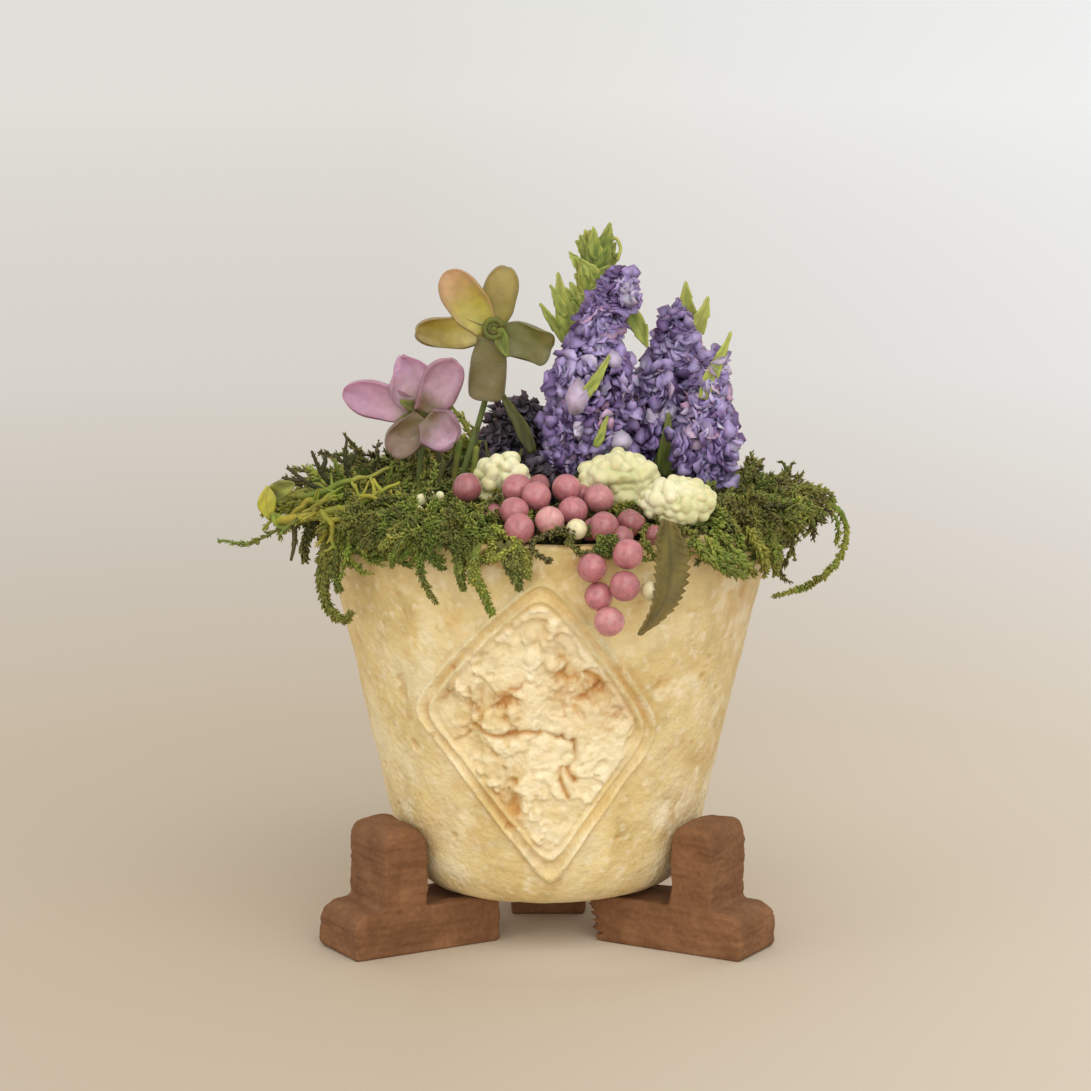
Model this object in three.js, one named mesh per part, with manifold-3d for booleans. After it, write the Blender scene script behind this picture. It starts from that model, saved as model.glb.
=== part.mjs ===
// Miniature flower planter, about 1:12 scale: a tapered cast pot with a diamond relief stands on
// three strip-wood feet. A foam plug inside holds the wire stems of two flowers and three lilac
// spikes, under a bed of moss that carries berries, bead heads and hanging fronds.
// Millimetres, +Z up, front towards -Y, origin on the pot's axis at the level of the soles.
import * as THREE from 'three';
import { mergeVertices } from 'three/addons/utils/BufferGeometryUtils.js';
import Module from 'manifold-3d';

const wasm = await Module();
wasm.setup();

// Pot: a straight wall that widens upwards from a rounded foot
const POT_BOTTOM = 2.96;
const POT_RIM = 26.9;
const RIM_RADIUS = 14.3;
const WALL_SLOPE = 0.2323;
const WALL = 1.3;
const FLOOR_THICKNESS = 1.35;
const CORNER_HEIGHT = 3.2;
const BOTTOM_FLAT_RADIUS = 5.9;
const RIM_ROUND = 0.4;
const POT_FACETS = 36;

// Diamond relief on the front wall: [degrees from the front, height] of its four corners
const RELIEF_CENTRE = [-3, 16];
const RELIEF_TOP = [-2, 24];
const RELIEF_RIGHT = [33, 16.2];
const RELIEF_BOTTOM = [0.5, 5.7];
const RELIEF_LEFT = [-41, 17.1];
const RELIEF_FRAMES = [
  { scale: 1.0, bead: 0.34 },
  { scale: 0.86, bead: 0.27 },
];

// Feet: a T profile cut from square strip wood, the pot standing on the three bars
const FOOT_THICKNESS = 4.7;
const FOOT_INNER = 4.75;
const REAR_FOOT_INNER = 1.6;
const FOOT_OUTER = 15.0;
const FOOT_BAR = 2.9;
const FOOT_HEIGHT = 8;
const UPRIGHT_INNER = 10.0;
const UPRIGHT_OUTER = 12.9;
const FOOT_DIRECTIONS = { foot_left: 210, foot_right: 330, foot_rear: 90 };

// Planting: the foam plug, the moss bed on it, and the level that everything above rests on
const PLUG_BOTTOM = 4.7;
const PLUG_TOP = 24.8;
const PLUG_GAP = 0.3;
const BED_BOTTOM = 24.9;
const BED_TOP = 27.0;
const MOSS_LEVEL = 27.1;

// Wire stems: where each one stands in the plug and how deep it reaches
const STEM_RADIUS = 0.35;
const BORE_RADIUS = 0.5;
const END_GAP = 0.3;
const BORE_TOP = 36;
const SPIKE_GRIP = 3.3;
const STEMS = {
  star: { x: -5.4, y: -2.0, bottom: 12 },
  mauve: { x: -8.0, y: -4.2, bottom: 16 },
  tall: { x: 3.25, y: -1.4, bottom: 12 },
  mid: { x: 7.2, y: 1.6, bottom: 14 },
  right: { x: 9.9, y: -2.3, bottom: 20 },
};

const BERRY_RADIUS = 0.88;
const PETAL_THICKNESS = 0.36;
const LEAF_THICKNESS = 0.35;

const planter = new THREE.Group();
planter.name = 'miniature_flower_planter';

const FINISH = {
  wood: { color: 0x7d563a, roughness: 0.85 },
  cast: { color: 0xe6d2a0, roughness: 0.6 },
  foam: { color: 0x4c5a38, roughness: 0.95 },
  moss: { color: 0x66682e, roughness: 0.95 },
  leaf: { color: 0x7c8440, roughness: 0.7 },
  stem: { color: 0x5c6432, roughness: 0.6 },
  berry: { color: 0xb87078, roughness: 0.35 },
  pale: { color: 0xdccfaa, roughness: 0.35 },
  white: { color: 0xe2dcb8, roughness: 0.5 },
  olive: { color: 0xa89658, roughness: 0.5 },
  mauve: { color: 0xc59ab0, roughness: 0.5 },
  centre: { color: 0x77703c, roughness: 0.6 },
  violet: { color: 0x75608c, roughness: 0.8 },
};

function addMesh(name, geometry, finish) {
  const material = new THREE.MeshStandardMaterial({ ...FINISH[finish], metalness: 0 });
  const mesh = new THREE.Mesh(geometry, material);
  mesh.name = name;
  planter.add(mesh);
  return mesh;
}

// Solids for cutting and joining

function toSolid(geometry) {
  const bare = geometry.clone();
  bare.deleteAttribute('normal');
  bare.deleteAttribute('uv');
  const merged = mergeVertices(bare);
  return new wasm.Manifold(new wasm.Mesh({
    numProp: 3,
    vertProperties: new Float32Array(merged.attributes.position.array),
    triVerts: new Uint32Array(merged.index.array),
  }));
}

function fromSolid(solid) {
  const mesh = solid.getMesh();
  const geometry = new THREE.BufferGeometry();
  geometry.setAttribute('position', new THREE.BufferAttribute(mesh.vertProperties, 3));
  geometry.setIndex(new THREE.BufferAttribute(mesh.triVerts, 1));
  geometry.computeVertexNormals();
  return geometry;
}

function bore(stem, from, to) {
  const geometry = new THREE.CylinderGeometry(BORE_RADIUS, BORE_RADIUS, to - from, 10);
  geometry.rotateX(Math.PI / 2);
  geometry.translate(stem.x, stem.y, (from + to) / 2);
  return toSolid(geometry);
}

function pierced(geometry, stems) {
  let solid = toSolid(geometry);
  for (const stem of stems) solid = solid.subtract(bore(stem, stem.bottom - END_GAP, BORE_TOP));
  return fromSolid(solid);
}

function trimmedBelow(geometry, level) {
  const size = 60;
  const block = new THREE.BoxGeometry(size, size, size);
  block.translate(0, 0, level - size / 2);
  return fromSolid(toSolid(geometry).subtract(toSolid(block)));
}

// Shapes shared by several pieces

function reshape(geometry, change) {
  const position = geometry.attributes.position;
  const point = new THREE.Vector3();
  for (let i = 0; i < position.count; i += 1) {
    point.fromBufferAttribute(position, i);
    change(point);
    position.setXYZ(i, point.x, point.y, point.z);
  }
  geometry.computeVertexNormals();
  return geometry;
}

function turned(outline, facets) {
  return new THREE.LatheGeometry(outline, facets).rotateX(Math.PI / 2);
}

function strand(points, halfWidth, halfThickness, steps, sides = 8) {
  const section = new THREE.Shape();
  for (let i = 0; i < sides; i += 1) {
    const turn = (2 * Math.PI * i) / sides;
    const corner = [halfThickness * Math.cos(turn), halfWidth * Math.sin(turn)];
    if (i === 0) section.moveTo(...corner);
    else section.lineTo(...corner);
  }
  const route = new THREE.CatmullRomCurve3(points.map((p) => new THREE.Vector3(...p)));
  return new THREE.ExtrudeGeometry(section, { steps, extrudePath: route });
}

function lump(centre, radii, roughness, phase) {
  const geometry = new THREE.IcosahedronGeometry(1, 3);
  return reshape(geometry, (point) => {
    const ripple = Math.sin(5 * point.x + phase) + Math.sin(6 * point.y + 2 * phase)
      + Math.sin(5 * point.z - phase);
    point.multiplyScalar(1 + (roughness * ripple) / 3);
    point.multiply(new THREE.Vector3(...radii));
    point.add(new THREE.Vector3(...centre));
  });
}

// Turns a mesh that lies along its own +X, facing +Z, so that it runs from root to tip
function aim(mesh, root, tip, facing) {
  const along = new THREE.Vector3().subVectors(tip, root).normalize();
  const across = new THREE.Vector3().crossVectors(facing, along).normalize();
  const normal = new THREE.Vector3().crossVectors(along, across);
  mesh.quaternion.setFromRotationMatrix(new THREE.Matrix4().makeBasis(along, across, normal));
  mesh.position.copy(root);
}

// Pot

function wallRadius(height) {
  return RIM_RADIUS - WALL_SLOPE * (POT_RIM - height);
}

function potOutline() {
  const cornerTop = POT_BOTTOM + CORNER_HEIGHT;
  const floor = POT_BOTTOM + FLOOR_THICKNESS;
  const rimTurn = POT_RIM - RIM_ROUND;
  const outline = new THREE.Path();
  outline.moveTo(0, POT_BOTTOM);
  outline.lineTo(BOTTOM_FLAT_RADIUS, POT_BOTTOM);
  outline.quadraticCurveTo(wallRadius(POT_BOTTOM), POT_BOTTOM, wallRadius(cornerTop), cornerTop);
  outline.lineTo(wallRadius(rimTurn), rimTurn);
  outline.quadraticCurveTo(RIM_RADIUS, POT_RIM, RIM_RADIUS - RIM_ROUND, POT_RIM);
  outline.lineTo(RIM_RADIUS - WALL + RIM_ROUND, POT_RIM);
  outline.quadraticCurveTo(RIM_RADIUS - WALL, POT_RIM, wallRadius(rimTurn) - WALL, rimTurn);
  outline.lineTo(wallRadius(cornerTop) - WALL, cornerTop);
  outline.quadraticCurveTo(wallRadius(floor) - WALL, floor, BOTTOM_FLAT_RADIUS, floor);
  outline.lineTo(0, floor);
  return outline.getPoints(3);
}

function reliefPoint(from, to, share, scale) {
  const [degrees, height] = [0, 1].map((i) => {
    const place = from[i] + (to[i] - from[i]) * share;
    return RELIEF_CENTRE[i] + (place - RELIEF_CENTRE[i]) * scale;
  });
  const angle = THREE.MathUtils.degToRad(degrees);
  const radius = wallRadius(height);
  return [radius * Math.sin(angle), -radius * Math.cos(angle), height];
}

function reliefHalf(side, { scale, bead }) {
  const lower = [0, 0.2, 0.4, 0.6, 0.8, 0.95];
  const upper = [0.05, 0.2, 0.4, 0.6, 0.8, 1];
  const points = [
    ...lower.map((share) => reliefPoint(RELIEF_BOTTOM, side, share, scale)),
    ...upper.map((share) => reliefPoint(side, RELIEF_TOP, share, scale)),
  ];
  return toSolid(strand(points, bead, bead, 14, 6));
}

function potGeometry() {
  let solid = toSolid(turned(potOutline(), POT_FACETS));
  for (const frame of RELIEF_FRAMES) {
    solid = solid.add(reliefHalf(RELIEF_LEFT, frame)).add(reliefHalf(RELIEF_RIGHT, frame));
  }
  return fromSolid(solid);
}

// Feet

function footOutline(inner) {
  const outline = new THREE.Shape();
  const soft = 0.8;
  const edge = 0.3;
  outline.moveTo(inner + edge, 0);
  outline.lineTo(FOOT_OUTER - edge, 0);
  outline.quadraticCurveTo(FOOT_OUTER, 0, FOOT_OUTER, edge);
  outline.lineTo(FOOT_OUTER, FOOT_BAR - soft);
  outline.quadraticCurveTo(FOOT_OUTER, FOOT_BAR, FOOT_OUTER - soft, FOOT_BAR);
  outline.lineTo(UPRIGHT_OUTER, FOOT_BAR);
  outline.lineTo(UPRIGHT_OUTER, FOOT_HEIGHT - soft);
  outline.quadraticCurveTo(UPRIGHT_OUTER, FOOT_HEIGHT, UPRIGHT_OUTER - soft, FOOT_HEIGHT);
  outline.lineTo(UPRIGHT_INNER + soft, FOOT_HEIGHT);
  outline.quadraticCurveTo(UPRIGHT_INNER, FOOT_HEIGHT, UPRIGHT_INNER, FOOT_HEIGHT - soft);
  outline.lineTo(UPRIGHT_INNER, FOOT_BAR);
  outline.lineTo(inner, FOOT_BAR);
  outline.lineTo(inner, edge);
  outline.quadraticCurveTo(inner, 0, inner + edge, 0);
  return outline;
}

function addFeet() {
  const options = { depth: FOOT_THICKNESS, bevelEnabled: false, curveSegments: 4 };
  for (const [name, degrees] of Object.entries(FOOT_DIRECTIONS)) {
    const inner = name === 'foot_rear' ? REAR_FOOT_INNER : FOOT_INNER;
    const geometry = new THREE.ExtrudeGeometry(footOutline(inner), options);
    geometry.translate(0, 0, -FOOT_THICKNESS / 2);
    geometry.rotateX(Math.PI / 2);
    const foot = addMesh(name, geometry, 'wood');
    foot.rotation.z = THREE.MathUtils.degToRad(degrees);
  }
}

// Foam plug and moss bed

function addPlanting() {
  const inside = (height) => wallRadius(height) - WALL - PLUG_GAP;
  const plug = [
    new THREE.Vector2(0, PLUG_BOTTOM),
    new THREE.Vector2(BOTTOM_FLAT_RADIUS - PLUG_GAP, PLUG_BOTTOM),
    new THREE.Vector2(inside(PLUG_BOTTOM + CORNER_HEIGHT), PLUG_BOTTOM + CORNER_HEIGHT),
    new THREE.Vector2(inside(PLUG_TOP), PLUG_TOP),
    new THREE.Vector2(0, PLUG_TOP),
  ];
  const bed = [
    new THREE.Vector2(0, BED_BOTTOM),
    new THREE.Vector2(inside(BED_BOTTOM), BED_BOTTOM),
    new THREE.Vector2(inside(BED_TOP - 0.5), BED_TOP - 0.5),
    new THREE.Vector2(inside(BED_TOP) - 1, BED_TOP),
    new THREE.Vector2(0, BED_TOP),
  ];
  const stems = Object.values(STEMS);
  addMesh('foam_plug', pierced(turned(plug, 32), stems), 'foam');
  addMesh('moss_bed', pierced(turned(bed, 32), stems), 'moss');
}

function addMossClumps() {
  const clumps = {
    moss_clump_left: { centre: [-11.0, -1.8, 27.2], radii: [5.0, 7.0, 3.0], stems: [STEMS.mauve] },
    moss_clump_right: { centre: [14.9, -1.8, 27.2], radii: [2.2, 6.0, 2.2], stems: [] },
    moss_clump_back: { centre: [-0.5, 10.5, 27.2], radii: [9.5, 6.2, 2.8], stems: [] },
    moss_clump_front: { centre: [-5.9, -11.6, 27.2], radii: [2.8, 2.3, 1.7], stems: [] },
  };
  Object.entries(clumps).forEach(([name, { centre, radii, stems }], index) => {
    const rough = lump(centre, radii, 0.12, 0.5 + 0.9 * index);
    addMesh(name, pierced(trimmedBelow(rough, MOSS_LEVEL), stems), 'moss');
  });
}

function addMossStrands() {
  const strands = {
    moss_sprig_long: [[[-14.6, -5.5, 26.4], [-16.4, -5.8, 26.4], [-18.3, -5.8, 25.6],
      [-20.0, -5.6, 25.4]], 0.45, 0.28],
    moss_sprig_left: [[[-13.3, -7.4, 26.5], [-13.6, -7.9, 24.0], [-13.3, -8.5, 22.3],
      [-12.4, -9.5, 21.4]], 0.55, 0.35],
    moss_frond_left: [[[-6.9, -13.8, 26.6], [-7.1, -14.0, 25.2], [-7.2, -14.2, 23.8]], 0.8, 0.4],
    moss_frond_centre: [[[-4.6, -14.7, 26.5], [-4.1, -15.0, 25.0], [-3.4, -15.3, 23.4]], 0.8, 0.4],
    moss_frond_berry: [[[-1.9, -15.2, 26.9], [-1.9, -15.4, 26.0], [-1.8, -15.5, 25.1]], 0.8, 0.4],
    moss_frond_right: [[[8.8, -13.1, 26.2], [10.4, -11.9, 25.2], [11.8, -10.5, 24.2]], 0.9, 0.5],
    moss_loop: [[[17.4, 1.4, 26.6], [18.7, 3.2, 25.8], [19.2, 4.0, 24.2], [18.1, 2.0, 22.5],
      [15.7, -3.0, 22.1], [13.8, -7.1, 22.4]], 0.4, 0.35],
  };
  for (const [name, [points, halfWidth, halfThickness]] of Object.entries(strands)) {
    addMesh(name, strand(points, halfWidth, halfThickness, 3 * points.length), 'moss');
  }
}

// Bead heads, berries and the berry spray's leaf

function addBeadHeads() {
  const heads = {
    bead_head_left: { centre: [-2.7, -6.4, 29.3], radii: [1.6, 1.5, 2.1], phase: 0.3 },
    bead_head_centre: { centre: [4.5, -6.7, 29.4], radii: [2.7, 1.5, 1.9], phase: 1.2 },
    bead_head_right: { centre: [7.6, -10.4, 28.9], radii: [2.4, 1.9, 1.4], phase: 2.6 },
  };
  for (const [name, { centre, radii, phase }] of Object.entries(heads)) {
    addMesh(name, lump(centre, radii, 0.16, phase), 'white');
  }
}

function addBerries(prefix, places, radius, finish) {
  places.forEach((place, index) => {
    const geometry = new THREE.IcosahedronGeometry(radius, 1);
    const berry = addMesh(`${prefix}_${index + 1}`, geometry, finish);
    berry.position.set(...place);
  });
}

function addBerrySpray() {
  addBerries('berry_top', [
    [-4.9, -8.9, 29.5],
    [-1.9, -9.0, 29.5],
    [-0.7, -10.5, 29.3],
    [1.1, -9.1, 29.5],
    [3.1, -9.6, 29.0],
    [-2.0, -11.7, 28.6],
    [1.5, -11.2, 28.5],
    [0.1, -12.7, 28.2],
    [-1.7, -13.6, 27.9],
    [3.3, -13.3, 27.9],
  ], BERRY_RADIUS, 'berry');
  addBerries('berry_hanging', [
    [2.6, -15.5, 25.9],
    [4.7, -15.5, 26.7],
    [4.5, -16.1, 24.9],
    [3.0, -15.3, 24.1],
    [3.6, -16.2, 22.8],
  ], BERRY_RADIUS, 'berry');
  addBerries('berry_pale', [
    [1.7, -13.8, 27.9],
    [6.1, -15.6, 24.5],
  ], 0.62, 'pale');
}

function leafGeometry(stalk, length, width, teeth) {
  const upper = [];
  for (let i = 1; i <= 2 * teeth; i += 1) {
    const share = i / (2 * teeth + 1);
    const tooth = i % 2 === 1 ? 1 : 0.72;
    const half = (width / 2) * Math.sin(Math.PI * share ** 0.8) * tooth;
    upper.push([stalk + length * share, Math.max(half, 0.22)]);
  }
  const outline = new THREE.Shape();
  outline.moveTo(0, -0.2);
  if (stalk > 0) outline.lineTo(stalk, -0.22);
  upper.forEach(([x, y]) => outline.lineTo(x, -y));
  outline.lineTo(stalk + length, 0);
  upper.reverse().forEach(([x, y]) => outline.lineTo(x, y));
  if (stalk > 0) outline.lineTo(stalk, 0.22);
  outline.lineTo(0, 0.2);
  const options = { depth: LEAF_THICKNESS, bevelEnabled: false };
  return new THREE.ExtrudeGeometry(outline, options).translate(0, 0, -LEAF_THICKNESS / 2);
}

function addLeaf(name, root, tip, facing, { stalk, width, teeth }) {
  const start = new THREE.Vector3(...root);
  const end = new THREE.Vector3(...tip);
  const length = start.distanceTo(end) - stalk;
  const leaf = addMesh(name, leafGeometry(stalk, length, width, teeth), 'leaf');
  aim(leaf, start, end, new THREE.Vector3(...facing));
}

// Flowers: five thin petals round a small centre, on a wire stem

function petalGeometry(length, width, cup, curl) {
  const geometry = new THREE.SphereGeometry(1, 10, 8).rotateZ(-Math.PI / 2);
  return reshape(geometry, (point) => {
    const share = (point.x + 1) / 2;
    const across = point.y * (0.42 + 0.95 * share);
    const lift = cup * across ** 2 + curl * share ** 2;
    point.set(length * share, (across * width) / 2, (point.z * PETAL_THICKNESS) / 2 + lift);
  });
}

function addFlower(prefix, centre, centreRadius, petals, facing, finish) {
  const heart = addMesh(`${prefix}_centre`, new THREE.IcosahedronGeometry(centreRadius, 1), 'centre');
  heart.position.set(...centre);
  petals.forEach(({ tip, width, layer, cup, curl }, index) => {
    const end = new THREE.Vector3(...tip);
    const middle = new THREE.Vector3(centre[0], tip[1], centre[2]);
    const outward = new THREE.Vector3().subVectors(end, middle).normalize();
    const root = middle.addScaledVector(outward, centreRadius + 0.15);
    const geometry = petalGeometry(root.distanceTo(end), width, cup, curl);
    const petal = addMesh(`${prefix}_petal_${index + 1}`, geometry, finish);
    aim(petal, root, end, new THREE.Vector3(...facing));
    petal.position.y += layer;
  });
}

function addStem(name, stem, upper) {
  const points = [
    [stem.x, stem.y, stem.bottom],
    [stem.x, stem.y, (stem.bottom + MOSS_LEVEL) / 2],
    [stem.x, stem.y, MOSS_LEVEL],
    ...upper,
  ];
  addMesh(name, strand(points, STEM_RADIUS, STEM_RADIUS, 2 * points.length, 8), 'stem');
}

function addFlowers() {
  addStem('star_stem', STEMS.star, [[-5.3, -1.9, 28.9], [-4.6, -1.2, 31.2], [-3.8, -0.4, 34.0],
    [-3.7, 0.0, 35.8], [-3.6, 0.0, 37.6]]);
  addFlower('star', [-3.6, -1.3, 37.9], 0.8, [
    { tip: [-5.6, -1.3, 41.6], width: 2.7, layer: 0.0, cup: 0.2, curl: -0.3 },
    { tip: [-2.5, -0.9, 42.0], width: 2.4, layer: 0.1, cup: 0.2, curl: -0.2 },
    { tip: [-8.3, -1.1, 37.9], width: 2.0, layer: 0.0, cup: 0.2, curl: 0.0 },
    { tip: [-3.8, -1.5, 33.6], width: 2.8, layer: 0.1, cup: 0.2, curl: 0.2 },
    { tip: [0.1, -1.0, 37.8], width: 2.6, layer: 0.0, cup: 0.2, curl: 0.0 },
  ], [0, -1, 0], 'olive');
  addStem('mauve_stem', STEMS.mauve, [[-7.9, -4.1, 29.5], [-7.7, -3.7, 31.6], [-7.6, -3.7, 33.4]]);
  addFlower('mauve', [-7.5, -4.9, 33.5], 0.8, [
    { tip: [-12.6, -5.1, 34.9], width: 2.0, layer: 0.0, cup: 0.3, curl: 0.1 },
    { tip: [-8.9, -5.1, 37.2], width: 2.6, layer: 0.0, cup: 0.2, curl: 0.3 },
    { tip: [-5.6, -5.8, 37.1], width: 2.4, layer: 0.0, cup: 0.3, curl: 0.4 },
    { tip: [-5.6, -6.0, 31.8], width: 2.0, layer: 0.0, cup: 0.3, curl: 0.3 },
    { tip: [-9.6, -5.6, 31.0], width: 2.0, layer: 0.0, cup: 0.2, curl: 0.2 },
  ], [0, -1, 0], 'mauve');
}

// Lilac spikes: a tapering head of florets threaded on the end of its wire

function spikeGeometry(stem, { bottom, top, radius, lean }) {
  const rows = 11;
  const outline = [];
  for (let i = 0; i <= rows; i += 1) {
    const share = i / rows;
    const fullness = i % rows === 0 ? 0 : Math.sin(Math.PI * share ** 0.6) ** 0.8;
    outline.push(new THREE.Vector2(radius * fullness, bottom + (top - bottom) * share));
  }
  return reshape(turned(outline, 12), (point) => {
    const bulge = 1 + 0.07 * Math.sin(5 * Math.atan2(point.y, point.x) + 2 * point.z);
    point.x = point.x * bulge + stem.x + lean * (point.z - bottom);
    point.y = point.y * bulge + stem.y;
  });
}

function addSpike(name, stem, head) {
  const boreTop = head.bottom + SPIKE_GRIP;
  const florets = toSolid(spikeGeometry(stem, head)).subtract(bore(stem, stem.bottom, boreTop));
  addMesh(`${name}_florets`, fromSolid(florets), 'violet');
  addStem(`${name}_stem`, stem, [[stem.x, stem.y, boreTop - END_GAP]]);
}

function addSpikes() {
  addSpike('spike_tall', STEMS.tall, { bottom: 29.1, top: 41.9, radius: 2.6, lean: 0.1 });
  addSpike('spike_mid', STEMS.mid, { bottom: 28.8, top: 38.9, radius: 1.75, lean: 0.1 });
  addSpike('spike_right', STEMS.right, { bottom: 28.4, top: 36.6, radius: 1.85, lean: 0.08 });
  addLeaf('spike_tall_leaf', [1.4, 1.7, 27.4], [3.4, 1.4, 44.5], [0, -1, 0],
    { stalk: 5.5, width: 4.2, teeth: 6 });
  addLeaf('spike_mid_leaf', [9.0, 3.9, 28.0], [8.9, 3.7, 40.2], [0, -1, 0],
    { stalk: 7.5, width: 1.8, teeth: 3 });
}

addMesh('pot', potGeometry(), 'cast');
addFeet();
addPlanting();
addMossClumps();
addMossStrands();
addBeadHeads();
addBerrySpray();
addLeaf('berry_leaf', [6.0, -13.6, 28.3], [5.0, -14.0, 22.4], [0.387, -0.922, 0],
  { stalk: 0, width: 2.8, teeth: 5 });
addFlowers();
addSpikes();

export default planter;
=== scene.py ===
"""Looks of the miniature flower planter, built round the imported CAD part.
Lengths are millimetres until a mesh is made, +Z up, the front towards -Y.
The floor, the lights and the camera are placed in metres."""
import math

import bmesh
import bpy
import numpy as np
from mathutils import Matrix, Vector


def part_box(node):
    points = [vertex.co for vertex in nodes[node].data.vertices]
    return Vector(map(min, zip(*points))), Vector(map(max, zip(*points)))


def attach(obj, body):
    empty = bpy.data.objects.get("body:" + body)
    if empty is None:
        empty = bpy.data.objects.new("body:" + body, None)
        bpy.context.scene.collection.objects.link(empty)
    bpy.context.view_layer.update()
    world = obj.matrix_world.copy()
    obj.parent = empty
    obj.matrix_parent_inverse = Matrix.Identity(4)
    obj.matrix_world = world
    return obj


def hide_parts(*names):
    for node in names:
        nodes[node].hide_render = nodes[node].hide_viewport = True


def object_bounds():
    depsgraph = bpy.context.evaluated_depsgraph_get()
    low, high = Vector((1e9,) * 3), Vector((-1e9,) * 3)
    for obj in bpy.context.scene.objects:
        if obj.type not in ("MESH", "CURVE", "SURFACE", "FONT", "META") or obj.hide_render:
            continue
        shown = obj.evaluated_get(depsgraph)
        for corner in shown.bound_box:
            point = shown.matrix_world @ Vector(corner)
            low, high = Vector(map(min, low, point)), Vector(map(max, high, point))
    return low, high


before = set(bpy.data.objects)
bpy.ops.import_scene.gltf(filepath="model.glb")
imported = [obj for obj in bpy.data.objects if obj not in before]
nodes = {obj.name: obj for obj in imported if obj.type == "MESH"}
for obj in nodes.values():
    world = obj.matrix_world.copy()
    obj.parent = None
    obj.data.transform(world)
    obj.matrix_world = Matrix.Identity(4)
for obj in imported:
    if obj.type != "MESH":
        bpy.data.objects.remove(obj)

MM = 0.001
cad_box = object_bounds()

# Pot, as in the CAD part. Relief corners are degrees from the front and heights. Creases are
# millimetres along the wall and heights.
POT_BOTTOM = 2.96
POT_RIM = 26.9
RIM_RADIUS = 14.3
WALL_SLOPE = 0.2323
WALL = 1.3
FLOOR_THICKNESS = 1.35
CORNER_HEIGHT = 3.2
BOTTOM_FLAT_RADIUS = 5.9
RIM_ROUND = 0.4
RELIEF_HALF_TURN = 62
RELIEF_CORNERS = ((-1.4, 25.2), (35.6, 14.8), (0.8, 4.7), (-43.4, 15.9))
CREASES = (
    ((0.8, 14.9), (1.0, 13.6), (0.7, 12.3), (1.2, 10.8)),
    ((1.5, 14.6), (1.5, 13.4), (1.2, 12.6), (1.9, 11.6)),
    ((2.2, 18.9), (3.1, 18.3), (2.7, 17.5), (1.9, 17.3)),
    ((-4.6, 15.2), (-3.0, 14.7), (-1.2, 15.1), (0.9, 14.6)),
    ((-1.9, 11.7), (-3.2, 13.4), (-4.9, 14.6)),
)
BOTTOM_ROWS, BEND_ROWS, WALL_ROWS, RIM_ROWS = 6, 24, 166, 6

# Feet, planting, and the way to the viewer
UPRIGHT_MIDDLE = 11.45
MOSS_LEVEL = 27.1
STEM_RADIUS = 0.35
FLOWER_STEMS = ((-5.4, -2.0), (-8.0, -4.2))
SPIKE_NAMES = ("spike_tall", "spike_mid", "spike_right")
FORWARD = np.array([0.0, -1.0, 0.0])


# Numbers: smooth noise, directions and curves


class Noise:
    """Smooth value noise from 0 to 1 on a repeating lattice."""

    size = 32

    def __init__(self, seed):
        self.lattice = np.random.default_rng(seed).random((self.size,) * 3)

    def octave(self, points):
        base = np.floor(points).astype(int)
        share = points - base
        share = share * share * (3 - 2 * share)
        low = base % self.size
        high = (low + 1) % self.size
        total = np.zeros(len(points))
        for corner in range(8):
            pick = [(corner >> axis) & 1 for axis in range(3)]
            x, y, z = np.where(pick, high, low).T
            weight = np.prod(np.where(pick, share, 1 - share), axis=1)
            total += weight * self.lattice[x, y, z]
        return total

    def __call__(self, points, scale, octaves=1):
        """scale is how many lumps there are in a millimetre."""
        points = np.asarray(points, float).reshape(-1, 3)
        total, weight, whole = np.zeros(len(points)), 1.0, 0.0
        for i in range(octaves):
            total += weight * self.octave(points * scale * 2**i + 7.3 * i)
            whole += weight
            weight *= 0.5
        return total / whole

    def sway(self, points, shifts, scale, octaves):
        """Three noises round 0, one along each axis."""
        return np.stack([self(points + k, scale, octaves) for k in shifts], axis=-1) - 0.5


def smoothstep(low, high, value):
    share = np.clip((value - low) / (high - low), 0, 1)
    return share * share * (3 - 2 * share)


def unit(v):
    v = np.asarray(v, float)
    return v / np.maximum(np.linalg.norm(v, axis=-1, keepdims=True), 1e-9)


def random_units(rng, count):
    return unit(rng.normal(size=(count, 3)))


def at_right_angles(directions, near):
    """near, turned to stand at right angles to each direction."""
    near = near - directions * np.sum(near * directions, axis=-1, keepdims=True)
    return unit(near)


def curve_through(points, steps):
    """A smooth curve through the points, steps long."""
    p = np.asarray(points, float)
    p = np.vstack([2 * p[0] - p[1], p, 2 * p[-1] - p[-2]])
    places = np.linspace(0, len(p) - 3 - 1e-9, steps)
    i = places.astype(int)
    t = (places - i)[:, None]
    a, b, c, d = p[i], p[i + 1], p[i + 2], p[i + 3]
    return 0.5 * (
        2 * b + (c - a) * t + (2 * a - 5 * b + 4 * c - d) * t**2
        + (3 * b - a - 3 * c + d) * t**3
    )


def wall_radius(height):
    return RIM_RADIUS - WALL_SLOPE * (POT_RIM - height)


def read(items, name, width, kind=float):
    """One property of every vertex or polygon, as rows."""
    values = np.zeros(len(items) * width, kind)
    items.foreach_get(name, values)
    return values.reshape(-1, width)


def node_points(name):
    return read(nodes[name].data.vertices, "co", 3) / MM


def node_middle(name):
    low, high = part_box(name)
    return (np.array(low) + np.array(high)) / 2 / MM


def node_radii(name):
    low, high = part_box(name)
    return (np.array(high) - np.array(low)) / 2 / MM


# Meshes: closed shapes gathered into one piece


def new_object(name, data):
    made = bpy.data.objects.new(name, data)
    bpy.context.scene.collection.objects.link(made)
    return made


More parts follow.
